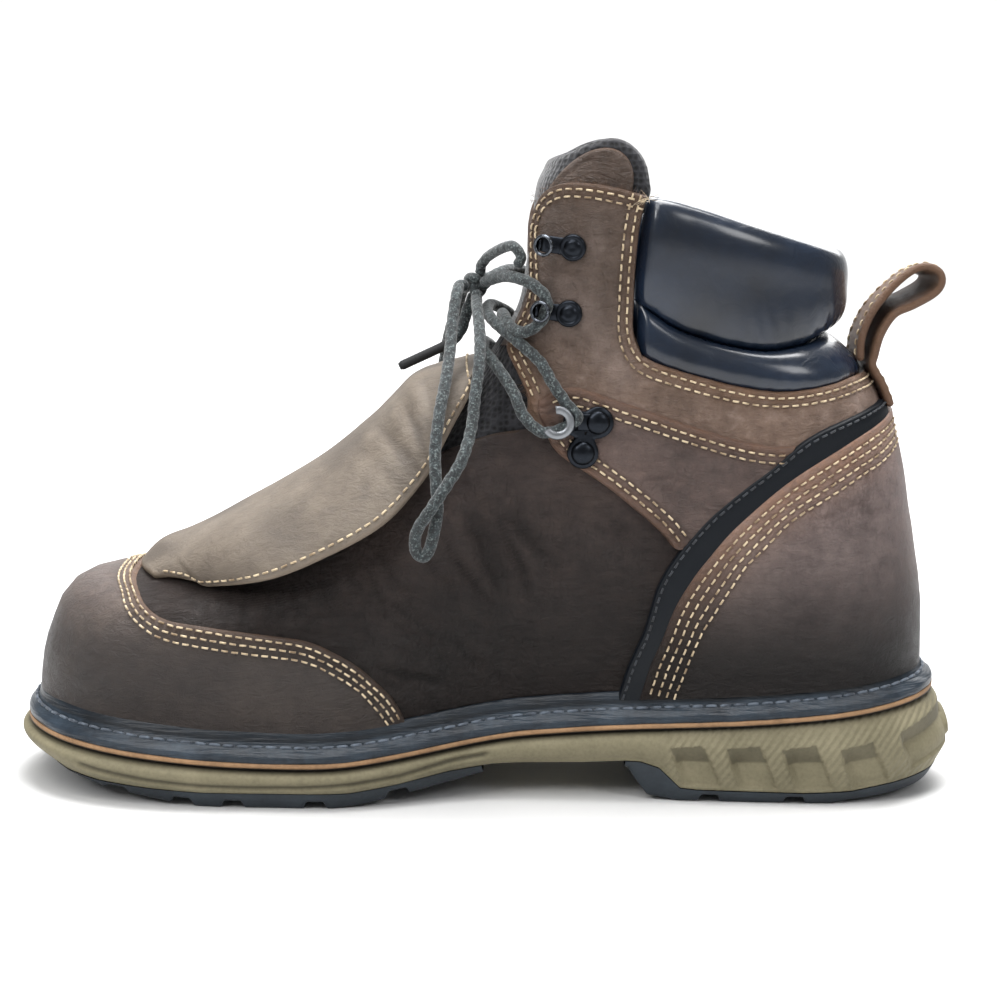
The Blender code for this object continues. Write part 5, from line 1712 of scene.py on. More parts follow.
@dataclass
class Upper:
    """Vamp, cuff and the panels sewn over them."""

    finishes: Finishes
    seams: Seams
    wall: float = 0.0024

    TOE_EDGE = [(.001, 7.93), (.225, 7.68), (.458, 7.04), (.614, 6.14), (.720, 5.62), (.839, 5.59),
                (.960, 5.48), (1.072, 5.32), (1.154, 5.10), (1.238, 4.34), (1.306, 3.46), (1.360, 2.38),
                (1.397, 1.40), (1.414, .80)]
    BAND_TOP = [(.955, 14.02), (1.009, 14.26), (1.094, 14.37), (1.237, 14.21), (1.499, 13.86),
                (1.748, 13.47), (1.941, 13.15), (2.082, 12.98), (2.199, 12.98)]
    BAND_FOOT = [(1.091, 13.43), (1.167, 13.05), (1.272, 12.65), (1.450, 12.08), (1.615, 11.42),
                 (1.775, 10.56), (1.873, 9.82), (1.921, 9.26)]
    BAND_NOSE = [(1.091, 13.43), (1.02, 13.62), (.975, 13.82), (.955, 14.02)]
    CUFF_FRONT = [(.975, 13.45), (.897, 14.00), (.765, 14.44), (.627, 14.82), (.480, 15.16),
                  (.474, 15.59), (.501, 16.12), (.465, 16.53), (.405, 17.05), (.380, 17.43)]
    CUFF_RIM = [(.380, 17.43), (.405, 17.75), (.470, 18.03), (.57, 18.24), (.75, 18.38), (1.05, 18.44),
                (1.327, 18.41)]
    CUFF_BACK = [(1.327, 18.41), (1.316, 17.74), (1.321, 16.99), (1.331, 16.15), (1.338, 15.61),
                 (1.386, 15.18)]
    CUFF_JOINT = [(1.43, 12.9), (1.42, 13.6), (1.40, 14.4), (1.386, 15.18)]
    TOP_LINE = [(1.386, 15.18), (1.483, 15.01), (1.686, 14.81), (1.887, 14.64), (2.097, 14.57),
                (2.364, 14.70), (2.716, 14.92), (math.pi, 15.00)]
    STRIP_FRONT = [(1.888, .80), (1.918, 2.71), (1.946, 5.35), (1.926, 8.85), (1.931, 9.67),
                   (1.955, 10.78), (2.021, 11.59), (2.111, 12.27), (2.221, 13.09), (2.379, 13.63),
                   (2.658, 14.02), (2.93, 14.20)]
    COUNTER = [(1.938, .80), (1.966, 2.68), (1.995, 4.84), (2.012, 6.96), (2.018, 8.51), (2.043, 9.97),
               (2.106, 11.09), (2.209, 11.92), (2.338, 12.53), (2.523, 13.13), (2.70, 13.52),
               (2.918, 13.80)]

    def vamp(self) -> None:
        """Vamp under the toe cap, the band and the strips."""
        half = [(0, 11.2), (.30, 12.0), (.62, 12.72), (.831, 13.19), (.98, 13.30), (1.2, 13.35), (1.5, 12.7),
                (1.8, 11.6), (2.0, 12.0), (2.12, 12.5)]
        top = [(-t, r) for t, r in half[:0:-1]] + half
        bottom = [(t, .5) for t in np.linspace(-2.12, 2.12, 9)]
        edge = [(-t, r) for t, r in half[4:0:-1]] + half[:5]
        made = Panel("vamp_lasted", [Patch(bottom, top)], [edge], self.finishes.vamp, base=0.0,
                     thick=0.0, drop=self.wall, step=.0009, lip=.0012).build()
        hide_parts("upper")

    def toe_cap(self) -> None:
        """Toe cap with three rows of stitching inside its wing."""
        whole = [(-t, r) for t, r in self.TOE_EDGE[:0:-1]] + [(0, 7.95)] + self.TOE_EDGE[1:]
        bottom = [(t, .6) for t in np.linspace(-1.41, 1.41, 11)]
        rows = [LAST.beside(whole, -gap * MM, 160) for gap in (1.7, 3.7, 5.7)]
        made = Panel("toe_cap_skived", [Patch(bottom, whole)], [whole], self.finishes.toe, base=.0006,
                     thick=.0013, drop=.0008, rubbed=.003, seams=rows).build()
        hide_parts("toe_cap")
        for row in rows:
            self.seams.on_skin("toe_cap_stitches", self.finishes.thread, row[2:-2], .0018)

    def cuff(self) -> None:
        """Cuff: a tower on each side of the tongue and a band round the ankle below the collar."""
        patches, turned, sewn = [], [], []
        for side in Side:
            front = sided(self.CUFF_FRONT, side)
            back = sided(self.CUFF_JOINT[:-1] + self.CUFF_BACK[::-1], side)
            foot = sided([(.975, 13.45), (1.1, 13.30), (1.25, 13.1), (1.43, 12.9)], side)
            top = sided(self.CUFF_RIM, side)
            if side is Side.INNER:
                patches.append(Patch(foot, top, front, back))
            else:
                patches.append(Patch(foot[::-1], top[::-1], back, front))
            line = sided(self.CUFF_BACK[:-1] + self.TOP_LINE, side)
            turned += [front, top, line]
            for edge, gaps, count in ((line, (2.4, 5.0), 120), (front[1:], (2.2, 4.6), 90),
                                      (top, (2.2, 4.4), 30)):
                sewn += [LAST.beside(edge, -side.value * gap * MM, count) for gap in gaps]
        half = self.TOP_LINE[:-1]
        top = half + [(math.pi, 15.0)] + over_heel(half[::-1])
        low = [(1.43, 12.9), (1.7, 12.4), (1.95, 12.3), (2.2, 12.7), (2.5, 13.0), (2.8, 13.2)]
        low.append((math.pi, 13.3))
        bottom = low + over_heel(low[-2::-1])
        patches.append(Patch(bottom, top, self.CUFF_JOINT, over_heel(self.CUFF_JOINT)))
        turned.append(top)
        fuzz = Fibres("cuff_rim_fibres", self.finishes.loop)
        frayed = Fibres("frayed_thread", self.finishes.thread, .00022)
        for side in Side:
            line = LAST.trace(sided(self.CUFF_RIM, side), np.linspace(.15, .97, 150))
            fuzz.along(LAST.skin(line[:, 0], line[:, 1], .0008),
                       normalised(LAST.normal(line[:, 0], line[:, 1]) + (0, 0, 1.2)), 110, .0016)
            end = LAST.trace(sided([(1.28, 18.30), (1.335, 18.36)], side), np.linspace(0, 1, 8))
            frayed.along(LAST.skin(end[:, 0], end[:, 1], .0012), LAST.normal(end[:, 0], end[:, 1]), 12, .0045)
            nose = LAST.trace(sided([(.80, 14.35), (.93, 13.95), (1.03, 13.55)], side), np.linspace(0, 1, 40))
            fuzz.along(LAST.skin(nose[:, 0], nose[:, 1], .0010), LAST.normal(nose[:, 0], nose[:, 1]),
                       60, .0022)
        fuzz.build()
        frayed.build()
        made = Panel("cuff_leather", patches, turned, self.finishes.cuff, base=.0005, thick=.0007,
                     drop=self.wall, step=.0011, rubbed=.0045, seams=sewn).build()
        for row in sewn:
            self.seams.on_skin("cuff_stitches", self.finishes.thread, row, .0011)

    def band(self, side: Side) -> None:
        """Quarter band that carries the lock hook.

        Args:
            side: Side of the boot.
        """
        name = side.name.lower()
        foot = self.BAND_FOOT + [(1.95, 9.6)]
        patch = Patch(sided(foot, side), sided(self.BAND_TOP, side), sided(self.BAND_NOSE, side))
        if side is Side.OUTER:
            patch = Patch(sided(foot[::-1], side), sided(self.BAND_TOP[::-1], side), None,
                          sided(self.BAND_NOSE, side))
        sewn = []
        for gap in (2.9, 5.4):
            sewn.append(LAST.beside(sided(self.BAND_TOP, side), -side.value * gap * MM, 90))
            sewn.append(LAST.beside(sided(self.BAND_FOOT, side), side.value * gap * MM, 90))
        turned = [sided(self.BAND_NOSE[::-1] + self.BAND_FOOT[1:], side), sided(self.BAND_TOP, side)]
        made = Panel(f"quarter_band_{name}_leather", [patch], turned, self.finishes.panel, base=.0011,
                     thick=.0014, drop=.0006, step=.0009, rubbed=.004, seams=sewn).build()
        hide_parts(f"quarter_band_{name}")
        for row in sewn:
            self.seams.on_skin(f"quarter_band_{name}_stitches", self.finishes.thread, row[3:-3], .0024)

    def strip(self, side: Side) -> None:
        """Black strip that binds the counter's front edge.

        Args:
            side: Side of the boot.
        """
        name = side.name.lower()
        back = LAST.beside(sided(self.COUNTER, side), -side.value * .001, 40)
        front = sided(self.STRIP_FRONT, side)
        if side is Side.INNER:
            patch = Patch([front[0], back[0]], [front[-1], back[-1]], front, back)
        else:
            patch = Patch([back[0], front[0]], [back[-1], front[-1]], back, front)
        seam = LAST.beside(front, -side.value * .0016, 90)
        made = Panel(f"rear_strip_{name}_black", [patch], [front], self.finishes.strip, base=.0019,
                     thick=.0011, drop=.0012, step=.0010, seams=[seam]).build()
        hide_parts(f"rear_strip_{name}")
        self.seams.on_skin(f"rear_strip_{name}_stitches", self.finishes.dark_thread, seam, .0029)

    def counter(self) -> None:
        """Heel counter with four rows of stitching behind its front edge."""
        left = list(self.COUNTER)
        right = over_heel(self.COUNTER)
        bottom = [(t, .6) for t in np.linspace(1.938, 2 * math.pi - 1.938, 9)]
        top = [left[-1], (math.pi, 13.92), right[-1]]
        sewn = []
        for side in Side:
            edge = sided(self.COUNTER + [(3.08, 13.90)], side)
            sewn += [LAST.beside(edge, -side.value * gap * MM, 116) for gap in (3.2, 5.9, 8.6, 11.2)]
        made = Panel("heel_counter_leather", [Patch(bottom, top, left, right)], [left, top, right],
                     self.finishes.heel, base=.0023, thick=.0013, drop=.0014, rubbed=.011, seams=sewn).build()
        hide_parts("heel_counter")
        for row in sewn:
            self.seams.on_skin("heel_counter_stitches", self.finishes.thread, row[2:-3], .0034)

    def lining(self) -> None:
        """Cloth lining inside the shaft and the forefoot."""
        turn = np.linspace(-math.pi, math.pi, 181)
        rings = np.linspace(.6, 15.0, 60)
        reach = np.interp(np.abs(turn), [0, .3, .62, .95, 1.35, 1.5, 2.1, math.pi],
                          [10.8, 11.8, 12.6, 15.2, 15.4, 14.9, 14.4, 14.8])
        rows = [LAST.flat(turn, ring / 15.0 * reach) - LAST.normal(turn, ring / 15.0 * reach) * .0026
                for ring in rings]
        grid = np.stack(rows)
        made = piece("lining_cloth", grid.reshape(-1, 3), quads(*grid.shape[:2])[:, ::-1], self.finishes.mesh)

    def build(self) -> None:
        """Make every panel."""
        self.vamp()
        self.cuff()
        self.toe_cap()
        self.counter()
        for side in Side:
            self.strip(side)
            self.band(side)
        self.lining()


@dataclass
class Collar:
    """Foam filled collar pad and the thinner roll below it."""

    finishes: Finishes
    thick: float = 0.010

    PAD = [(1.335, 16.36, 18.30, .05, .6), (1.42, 16.2, 18.42, .30, .9), (1.65, 15.80, 18.42, .40, 1.0),
           (2.05, 15.58, 18.30, .50, 1.0), (2.40, 15.72, 18.20, .60, 1.0), (2.75, 15.95, 18.10, .80, .9),
           (math.pi, 16.08, 18.08, .95, .8)]
    ROLL = [(1.365, 15.30, 16.36, .03, .6), (1.42, 15.05, 16.20, .12, .8), (1.65, 14.74, 15.80, .20, .9),
            (2.05, 14.50, 15.56, .22, .9), (2.40, 14.62, 15.72, .22, .9), (2.75, 14.90, 15.93, .18, .8),
            (math.pi, 14.98, 16.06, .12, .8)]

    def build(self) -> None:
        """Make the pad and the roll."""
        for name, node, table, fill in (("collar_pad_foam", "collar_pad", self.PAD, .8),
                                        ("collar_roll_foam", "collar_roll", self.ROLL, .7)):
            near = np.linspace(table[0][0], math.pi, 110)
            turn = np.concatenate([near, 2 * math.pi - near[-2::-1]])
            at = np.where(turn > math.pi, 2 * math.pi - turn, turn)
            rows = np.array(table)
            low, high, bulge, depth = (follow(rows[:, [0, k]], at) for k in (1, 2, 3, 4))
            squeeze = np.sqrt(np.clip((at - table[0][0]) / .05, .02, 1))
            angle = circle(44)
            ring_rows = []
            for a in angle:
                across = math.copysign(abs(math.cos(a)) ** .75, math.cos(a))
                up = math.copysign(abs(math.sin(a)) ** .8, math.sin(a))
                proud = ((bulge - depth) / 2 + (bulge + depth) / 2 * across * squeeze) * self.thick
                ring = (low + high) / 2 + (high - low) / 2 * up
                pucker = .00022 * np.sin(at * 46 + 2 * np.sin(at * 9)) * max(0.0, -math.sin(a)) ** 2
                ring_rows.append(LAST.flat(turn, ring) + LAST.normal(turn, ring) * (proud + pucker)[:, None])
            grid = np.stack(ring_rows, 1)
            count = len(angle)
            caps = []
            for row in (0, len(turn) - 1):
                ring = np.arange(count) + row * count
                ring = ring if row == 0 else ring[::-1]
                half = count // 2
                for k in range(half - 1):
                    caps.append([ring[k], ring[(count - k) % count], ring[count - k - 1], ring[k + 1]])
            made = piece(name, grid.reshape(-1, 3),
                         np.vstack([quads(*grid.shape[:2], wrap=True)[:, ::-1], np.array(caps)]),
                         self.finishes.collar)
            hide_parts(node)
        LOG.info("collar made")


@dataclass
class Tongue:
    """Padded tongue: smooth leather sides, a mesh front and a mesh lining."""

    finishes: Finishes
    seams: Seams
    thick: float = 0.0055
    inset: float = 0.0039

    ROWS = [(11.6, .50), (12.4, .90), (13.4, 1.14), (14.4, 1.14), (15.4, 1.08), (16.4, 1.10),
            (17.4, 1.20), (18.15, 1.30)]
    TOP = [(0, 18.62), (.5, 18.80), (.85, 19.08), (1.02, 19.19), (1.15, 19.13), (1.25, 18.9),
           (1.31, 18.5)]
    COVER_FRONT = [(.28, 15.2), (.32, 16.4), (.36, 17.4), (.40, 18.02), (.50, 18.44), (.66, 18.84),
                   (.80, 19.03)]
    COVER_BACK = [(1.04, 15.2), (1.08, 16.4), (1.17, 17.4), (1.225, 18.15), (1.235, 18.5)]
    COVER_TOP = [(.80, 19.03), (.94, 19.15), (1.05, 19.16), (1.15, 19.05), (1.215, 18.82), (1.235, 18.5)]

    def build(self) -> None:
        """Make the tongue and the leather that covers its sides."""
        rows = np.array(self.ROWS)
        part = np.linspace(-1, 1, 96)
        grid = []
        for s in np.linspace(0, 1, 120):
            base = float(np.interp(s, [0, .86], [11.6, 18.15]))
            half = float(follow(rows, base)) + .01 * max(0.0, (s - .86) / .14)
            turn = part * half
            ring = base + (follow(np.array(self.TOP), np.abs(turn)) - 18.15) * max(0.0, (s - .86) / .14)
            puff = .0003 * np.cos(part * np.pi / 2) * math.sin(s * 30)
            depth = self.inset + self.thick / 2 - puff
            grid.append(LAST.flat(turn, ring) - LAST.normal(turn, ring) * depth[:, None])
        made = slab("tongue_padded", np.stack(grid), self.thick, [self.finishes.mesh])
        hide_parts("tongue")
        for side in Side:
            front, back, top = (sided(k, side) for k in (self.COVER_FRONT, self.COVER_BACK, self.COVER_TOP))
            foot = sided([(.28, 15.2), (.66, 15.2), (1.04, 15.2)], side)
            patch = Patch(foot, top, front, back)
            if side is Side.OUTER:
                patch = Patch(foot[::-1], top[::-1], back, front)
            name = f"tongue_cover_{side.name.lower()}"
            seams = [LAST.beside(front, -side.value * .0028, 60)]
            cover = Panel(name, [patch], [front, back, top], self.finishes.cuff,
                          base=-self.inset - .0002, thick=.0016, drop=.0004, seams=seams).build()
        LOG.info("tongue made")


@dataclass
class Guard:
    """Metatarsal guard: a stiff leather flap over the instep with a padded underside."""

    finishes: Finishes
    seams: Seams
    thick: float = 0.0030

    ROOT = [(7.98, .35, -.0012), (8.2, .46, .0010), (8.5, .50, .0030)]
    ROWS = [(.171, .331, .208, .266, .330), (.222, .392, .276, .303, .437),
            (.273, .448, .338, .354, .451), (.324, .514, .392, .405, .434),
            (.375, .592, .427, .470, .398), (.412, .659, .441, .510, .371),
            (.438, .675, .460, .582, .316), (.458, .677, .471, .622, .281),
            (.477, .680, .477, .652, .236)]

    def arch(self, row: Sequence[float], part: Array) -> Array:
        """Points across the flap at one row.

        Args:
            row: Crest share and rise, edge share and rise, half width.
            part: Places from -1 at the inner edge to 1 at the outer.

        Returns:
            Points.
        """
        drop = np.abs(part) ** 2.2
        share = row[0] + (row[2] - row[0]) * drop
        across = np.sin(part * np.pi / 2 * .92) / math.sin(math.pi / 2 * .92) * row[4] * LAST.width
        height = LAST.feather(share) + (row[1] + (row[3] - row[1]) * drop) * LAST.shaft
        return np.stack([(share - .5) * LAST.length, across + ease(CENTRE, share) * LAST.width * .5,
            height], 1)

    def build(self) -> None:
        """Make the flap, its stitching and its lining."""
        part = np.sin(np.linspace(-1, 1, 121) * 1.35) / math.sin(1.35) * .975
        rows = []
        for ring, half, lift in self.ROOT:
            turn = -part * half
            rows.append(LAST.flat(turn, ring) + LAST.normal(turn, ring) * (.0006 + self.thick + lift))
        rows += [self.arch(row, part) for row in self.ROWS]
        rows = np.stack(rows)
        # The edge runs straight from the toe cap's seam to the first free row
        hang = (np.abs(part) ** 1.4)[:, None]
        for index, share in ((1, .33), (2, .66)):
            edge = rows[0] * (1 - share) + rows[3] * share + (0, 0, .0007)
            rows[index] = rows[index] * (1 - hang) + edge * hang
        gaps = np.linalg.norm(np.diff(rows, axis=0), axis=2).mean(1)
        index = np.concatenate([[0], np.cumsum(gaps)])
        places = np.linspace(0, index[-1], 170)
        flat = rows.reshape(len(rows), -1)
        fine = np.stack([follow(np.stack([index, flat[:, k]], 1), places) for k in range(flat.shape[1])], 1)
        grid = fine.reshape(len(places), len(part), 3)
        along, across = places[:, None] / index[-1], part[None, :]
        # Upright wrinkles behind the ball and a little slackness
        slack = (.00045 * np.sin(along * 95 + 3 * across) * np.exp(-((along - .78) / .10) ** 2)
                 * np.exp(-((np.abs(across) - .55) / .35) ** 2)
                 + .0004 * np.sin(along * 17 + 2 * across ** 2) * np.sin(across * 5 + along * 4))
        normal = normalised(np.cross(np.gradient(grid, axis=1), np.gradient(grid, axis=0)))
        normal *= np.sign(normal[..., 2:3].mean())
        middle = grid + normal * (slack[..., None] - self.thick / 2)
        coats = [self.finishes.guard, self.finishes.dark, self.finishes.guard]
        # Painted shade: the crease mark darkens the troughs of the wrinkles
        made = slab("met_guard_flap", middle[::-1], self.thick, coats,
                    {"crease": np.clip(-slack / .0006, 0, .6)[::-1]})
        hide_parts("met_guard")

        top = middle + normal * self.thick / 2
        away = np.linalg.norm(np.diff(top[90], axis=0), axis=1).cumsum()
        inset = int(np.searchsorted(away, .0014))
        loop = np.concatenate([top[4:-inset, inset], top[-inset, inset:-inset], top[4:-inset, -inset][::-1]])
        ups = np.concatenate([normal[4:-inset, inset], normal[-inset, inset:-inset],
                              normal[4:-inset, -inset][::-1]])
        self.seams.on_line("met_guard_stitches", self.finishes.thread, loop, ups, .0032, .0007)

        inner = middle[44:-4, 12:-12] - normal[44:-4, 12:-12] * (self.thick / 2 + .0008 + .00175)
        lining = slab("met_guard_padding", inner[::-1], .0035, [self.finishes.dark])
        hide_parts("met_guard_lining")
        LOG.info("guard made")


@dataclass
class PullLoop:
    """Folded strap at the heel for pulling the boot on."""

    finishes: Finishes
    seams: Seams
    width: float = 0.022
    thick: float = 0.0024
    reach: float = 0.033

    LEG = [14.03, 14.3, 14.6, 15.0]
    PATH = [(.07, .16), (.12, .38), (.24, .58), (.43, .68), (.61, .79), (.67, .88), (.64, .96),
            (.52, .99), (.38, .92), (.21, .76), (.07, .58), (-.01, .41), (-.045, .27), (-.048, .13)]

    def build(self) -> None:
        """Make the strap."""
        leg = [LAST.flat(math.pi, ring) + LAST.normal(math.pi, ring) * (LAST.clear + self.thick / 2 + .0010)
               for ring in self.LEG]
        anchor = LAST.flat(math.pi, self.LEG[-1])
        free = [np.array([anchor[0] + out * self.reach, 0, anchor[2] + up * self.reach])
                for out, up in self.PATH]
        path = smooth_line([*leg, *free], .0008)
        path[:, 1] = 0
        share = np.linspace(0, 1, len(path))
        part = np.linspace(-1, 1, 25)
        twist = .0012 * np.sin(share * np.pi)
        way = normalised(np.gradient(path, axis=0))
        side = np.stack([-way[:, 2], np.zeros(len(path)), way[:, 0]], 1)
        middle = (path[:, None] + np.array([0, 1, 0])[None, None] * (part * self.width / 2)[None, :, None]
                  + side[:, None] * (twist[:, None] * part[None, :])[..., None])
        made = slab("pull_loop_strap", middle, self.thick, [self.finishes.loop])
        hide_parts("pull_loop")
        out = -1.0 if side[len(leg) * 2, 0] > 0 else 1.0
        for edge in (3, -4):
            line = middle[:, edge] - side * out * self.thick / 2
            self.seams.on_line("pull_loop_stitches", self.finishes.thread, line, -side * out)
        LOG.info("pull loop made")


# Hooks


def placed(turn: float, ring: float, proud: float) -> Matrix:
    """Placement on the skin with Z outward and -X towards the lace edge.

    Args:
        turn: Turn of the spot.
        ring: Ring of the spot.
        proud: Metres off the skin.

    Returns:
        The placement.
    """
    here = LAST.flat(turn, ring)
    out = LAST.normal(turn, ring)
    away = .02 if turn > 0 else -.02
    along = LAST.flat(turn + away, ring) - here
    along = normalised(along - out * (along @ out))
    across = np.cross(out, along)
    spot = here + out * proud
    return Matrix([[along[k], across[k], out[k], spot[k]] for k in range(3)] + [[0, 0, 0, 1]])


def lathe(profile: Knots, sides: int = 28) -> tuple[Array, Array]:
    """Turned shape.

    Args:
        profile: Radius and height in millimetres, from the axis outward and back.
        sides: Number of sides.

    Returns:
        Vertices in metres and quads.
    """
    angle = circle(sides)
    rows = [np.stack([np.cos(angle) * r, np.sin(angle) * r, np.full(sides, z)], 1) for r, z in profile]
    return np.vstack(rows) * MM, quads(len(profile), sides, wrap=True)


def swept(path: Array, radius: Any, sides: int = 14, flat: float = 1.0) -> tuple[Array, Array]:
    """Round or flattened bar along a path in the XY or XZ plane.

    Args:
        path: Points in metres.
        radius: Radius or radii in metres.
        sides: Number of sides.
        flat: Share of the radius that is kept upright.

    Returns:
        Vertices and quads.
    """
    way = normalised(np.gradient(path, axis=0))
    across = normalised(np.cross(way, (0, 0, 1.0)) + 1e-9)
    up = np.cross(across, way)
    angle = circle(sides)[None, :, None]
    radius = np.broadcast_to(radius, len(path))[:, None, None]
    ring = (path[:, None] + across[:, None] * np.cos(angle) * radius
            + up[:, None] * np.sin(angle) * radius * flat)
    rows = len(path)
    caps = []
    for row in (0, rows - 1):
        loop = np.arange(sides) + row * sides
        loop = loop if row else loop[::-1]
        half = sides // 2
        for k in range(half - 1):
            caps.append([loop[k], loop[k + 1], loop[sides - k - 2], loop[sides - k - 1]])
    return ring.reshape(-1, 3), np.vstack([quads(rows, sides, wrap=True), np.array(caps)])


@dataclass
class Hooks:
    """Speed hooks and lock hooks, stamped and riveted through the leather."""

    finishes: Finishes

    # Section of a stamped strap in half widths and half thicknesses, and of the jaw in millimetres
    STRAP = ((-1, -.6), (-1, .6), (-.86, 1), (.86, 1), (1, .6), (1, -.6), (.86, -1), (-.86, -1))
    JAW = ((2.7, 5.0), (2.9, 5.4), (4.9, 5.4), (5.2, 5.0), (5.2, 4.1), (4.9, 3.8), (2.9, 3.8), (2.7, 4.1))

    def join(self, name: str, node: str, parts: Sequence[tuple[Array, Array, int]],
             place: Matrix) -> Object:
        """Join parts of a fitting into one piece on the skin.

        Args:
            name: Name of the piece.
            node: Solid that it stands for.
            parts: Vertices, quads and 0 for black, 1 for bare or 2 for rubbed metal.
            place: Placement.

        Returns:
            The object.
        """
        points, faces = joined(parts)
        turned = np.array([list(place @ Vector(p)) for p in points])
        made = piece(name, turned, faces, self.finishes.black_metal)
        made.data.materials.append(self.finishes.worn_metal)
        made.data.materials.append(self.finishes.rubbed_metal)
        slots = np.concatenate([np.full(len(quad), slot) for _, quad, slot in parts])
        made.data.polygons.foreach_set("material_index", slots)
        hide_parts(node)
        return made

    def speed_hook(self, name: str, turn: float, ring: float) -> None:
        """Riveted base, a neck that curls over the lace and a ring shaped head.

        Args:
            name: Which hook.
            turn: Turn of its rivet.
            ring: Ring of its rivet.
        """
        base = lathe([(0, 1.6), (1.2, 1.9), (2.2, 1.7), (2.6, 1.25), (2.75, 1.15), (3.0, 1.3), (3.6, 1.45),
                      (4.1, 1.1), (4.25, .5), (4.2, 0)])
        angle = np.linspace(0, 2 * np.pi, 41)[:, None]
        head = np.hstack([-.0082 + .0027 * np.cos(angle), .0029 * np.sin(angle),
                          .0056 + .0006 * np.cos(angle)])
        rim = swept(head, .00060, 12, 1.4)
        spine = smooth_line([(-.001, 0, .0006), (-.005, 0, .0006), (-.0086, 0, .0008), (-.0100, 0, .0024),
                             (-.0100, 0, .0042), (-.0090, 0, .0056)], .0004)
        neck = self.strap(spine, np.interp(np.arange(len(spine)), [0, 8, 20, len(spine)],
                                           [.0030, .0026, .0026, .0014]), .0005)
        self.join(f"{name}_stamped", name, [(*base, 0), (*rim, 2), (*neck, 0)], placed(turn, ring, .0012))

    def strap(self, spine: Array, half: Array, thick: float) -> tuple[Array, Array]:
        """Sheet metal strip along a line in the XZ plane.

        Args:
            spine: Its middle line.
            half: Half widths along it.
            thick: Half its thickness.

        Returns:
            Vertices and quads.
        """
        way = normalised(np.gradient(spine, axis=0))
        up = np.stack([-way[:, 2], np.zeros(len(way)), way[:, 0]], 1)
        rows = []
        for side, lift in self.STRAP:
            rows.append(spine + np.stack([np.zeros(len(half)), half * side, np.zeros(len(half))], 1)
                        + up * lift * thick)
        grid = np.stack(rows, 1)
        last = (len(spine) - 1) * 8
        caps = [[3, 2, 1, 0], [7, 4, 3, 0], [7, 6, 5, 4], [last, last + 1, last + 2, last + 3],
                [last, last + 3, last + 4, last + 7], [last + 4, last + 5, last + 6, last + 7]]
        return grid.reshape(-1, 3), np.vstack([quads(*grid.shape[:2], wrap=True), np.array(caps)])

    def lock_hook(self, name: str, turn: float, ring: float) -> None:
        """Plate with two rivets and a horseshoe jaw that grips the lace.

        Args:
            name: Which hook.
            turn: Turn of its upper rivet.
            ring: Ring of its upper rivet.
        """
        mirror = 1 if turn > 0 else -1
        low_place = placed(1.349 * mirror, 12.73, .0026)
        second = placed(turn, ring, .0026).inverted() @ low_place.translation
        lobes = np.array([(0, 0), (second.x, second.y), (-.0068, -.0004 * mirror)])
        angle = circle(90)
        ways = np.stack([np.cos(angle), np.sin(angle)], 1)
        centre = lobes.mean(0)
        reach = np.zeros(len(angle))
        for lobe, radius in zip(lobes, (.0050, .0050, .0042)):
            offset = lobe - centre
            along = ways @ offset
            inside = radius ** 2 - (offset @ offset - along ** 2)
            hit = along + np.sqrt(np.clip(inside, 0, None))
            reach = np.maximum(reach, np.where(inside > 0, hit, 0))
        reach = np.maximum(reach, .0036)
        for _ in range(3):
            reach = (np.roll(reach, 1) + reach * 2 + np.roll(reach, -1)) / 4
        rows = []
        for size, height in ((1.0, 0), (1.0, .0008), (.96, .0012), (.6, .0012), (.05, .0012)):
            rows.append(np.hstack([centre + ways * reach[:, None] * size, np.full((90, 1), height)]))
        plate = (np.vstack(rows), quads(5, 90, wrap=True))
        dome = [(0, 2.9), (1.4, 2.8), (2.7, 2.45), (3.5, 1.9), (3.75, 1.2)]
        upper = lathe(dome)
        lower = lathe(dome)
        lower = (lower[0] + np.array([second.x, second.y, 0]), lower[1])
        angle = np.radians(np.linspace(-145, 100, 60)) * mirror
        rows = []
        for r, z in self.JAW:
            rows.append(np.stack([-.0128 + np.cos(angle) * r * MM, np.sin(angle) * r * MM,
                                  np.full(len(angle), z * MM)], 1))
        grid = np.stack(rows, 1)
        last = (len(angle) - 1) * 8
        caps = [[0, 1, 2, 7], [7, 2, 3, 6], [6, 3, 4, 5], [last + 7, last + 2, last + 1, last],
                [last + 6, last + 3, last + 2, last + 7], [last + 5, last + 4, last + 3, last + 6]]
        jaw = (grid.reshape(-1, 3), np.vstack([quads(*grid.shape[:2], wrap=True), np.array(caps)]))
        spine = smooth_line([(-.002, 0, .0010), (-.0060, 0, .0013), (-.0072, 0, .0026), (-.0080, 0, .0042),
                             (-.0092, 0, .0045)], .0004)
        neck = self.strap(spine, np.full(len(spine), .0026), .0006)
        self.join(f"{name}_stamped", name, [(*plate, 0), (*upper, 0), (*lower, 0), (*jaw, 1), (*neck, 0)],
                  placed(turn, ring, .0026))

    def build(self) -> None:
        """Make all six hooks."""
        for side in Side:
            name = side.name.lower()
            self.speed_hook(f"hook_top_{name}", .86 * side.value, 17.25)
            self.speed_hook(f"hook_mid_{name}", .91 * side.value, 15.95)
            self.lock_hook(f"lock_hook_{name}", 1.306 * side.value, 13.54)
        LOG.info("hooks made")


# Stage


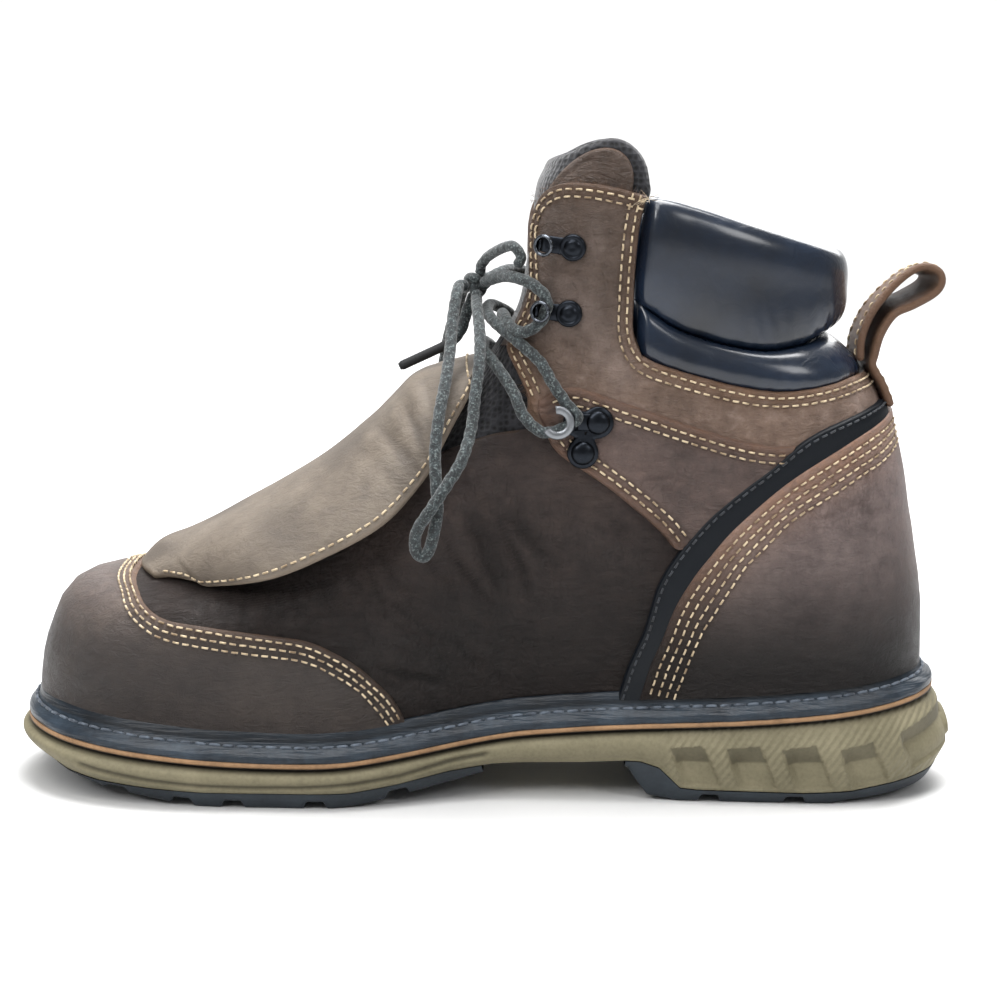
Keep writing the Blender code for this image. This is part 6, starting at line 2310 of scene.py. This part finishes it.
@dataclass
class Studio:
    """Floor, lights and camera of the product view."""

    lens: float = 77.4
    spot: tuple[float, float, float] = (.0025, -.7, .205)
    down: float = 9.25
    roll: float = 1.15

    # Name, place, size and power of each light
    LIGHTS = (("key", (-.5, -.75, 1.35), .8, 11), ("fill", (.95, -1.0, 1.0), .45, 5),
              ("top", (.1, .10, 1.4), .9, 30), ("rear", (.5, 1.1, .9), .9, 10),
              ("side", (-.9, -1.1, 1.0), .40, 7), ("backdrop", (0, .6, 2.2), 1.6, 60))
    # Places and heights of the sweep's bends
    SWEEP = ((-3, 0), (1.2, 0), (1.7, .05), (2.1, .25), (2.3, .7), (2.3, 3))

    def camera(self) -> None:
        """Camera at the photograph's viewing angle."""
        data = bpy.data.cameras.new("camera")
        data.lens = self.lens
        data.sensor_width = 36
        data.clip_start = .01
        camera = bpy.data.objects.new("camera", data)
        camera.matrix_world = (Matrix.Translation(self.spot)
                               @ Matrix.Rotation(math.radians(90 - self.down), 4, "X")
                               @ Matrix.Rotation(math.radians(self.roll), 4, "Z"))
        bpy.context.scene.collection.objects.link(camera)
        bpy.context.scene.camera = camera

    def lights(self) -> None:
        """Large soft lights above, in front and behind, and one on the backdrop."""
        for name, spot, size, power in self.LIGHTS:
            data = bpy.data.lights.new(name, "AREA")
            data.size = size
            data.energy = power
            light = bpy.data.objects.new(name, data)
            light.location = spot
            aim = Vector((0, 2.3, 1.0)) if name == "backdrop" else Vector((0, 0, .08))
            light.rotation_euler = (aim - Vector(spot)).to_track_quat("-Z", "Y").to_euler()
            bpy.context.scene.collection.objects.link(light)
        world = bpy.data.worlds.new("studio")
        world.use_nodes = True
        world.node_tree.nodes["Background"].inputs["Color"].default_value = (1, 1, 1, 1)
        world.node_tree.nodes["Background"].inputs["Strength"].default_value = .30
        bpy.context.scene.world = world
        bpy.context.scene.view_settings.view_transform = "Standard"

    def floor(self) -> None:
        """Plain pale sweep."""
        grid = np.array([[(x, y, z - .0002) for x in (-4, 4)] for y, z in self.SWEEP], float)
        made = piece("floor", grid.reshape(-1, 3), quads(*grid.shape[:2])[:, ::-1],
                     Plastic("matt_sweep_white", "#d2d2d2", .9).material())

    def build(self) -> None:
        """Set the stage."""
        self.camera()
        self.lights()
        self.floor()


def dress_solids(frame: dict[str, Any], finishes: Finishes) -> None:
    """Give the solids that stay their finish.

    Args:
        frame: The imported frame.
        finishes: The materials.
    """
    insole = frame["nodes"]["insole"]
    for slot in insole.material_slots:
        slot.material = finishes.footbed


def main() -> None:
    """Build the boot's looks in order."""
    logging.basicConfig(level=logging.INFO, format="%(name)s %(message)s")
    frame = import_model()
    finishes = Finishes()
    seams = Seams()
    Studio().build()
    Laces(finishes).build()
    Sole(finishes, seams).build()
    Upper(finishes, seams).build()
    Collar(finishes).build()
    Tongue(finishes, seams).build()
    Guard(finishes, seams).build()
    PullLoop(finishes, seams).build()
    Hooks(finishes).build()
    seams.build()
    dress_solids(frame, finishes)
    LOG.info("boot made")


if __name__ == "__main__":
    main()
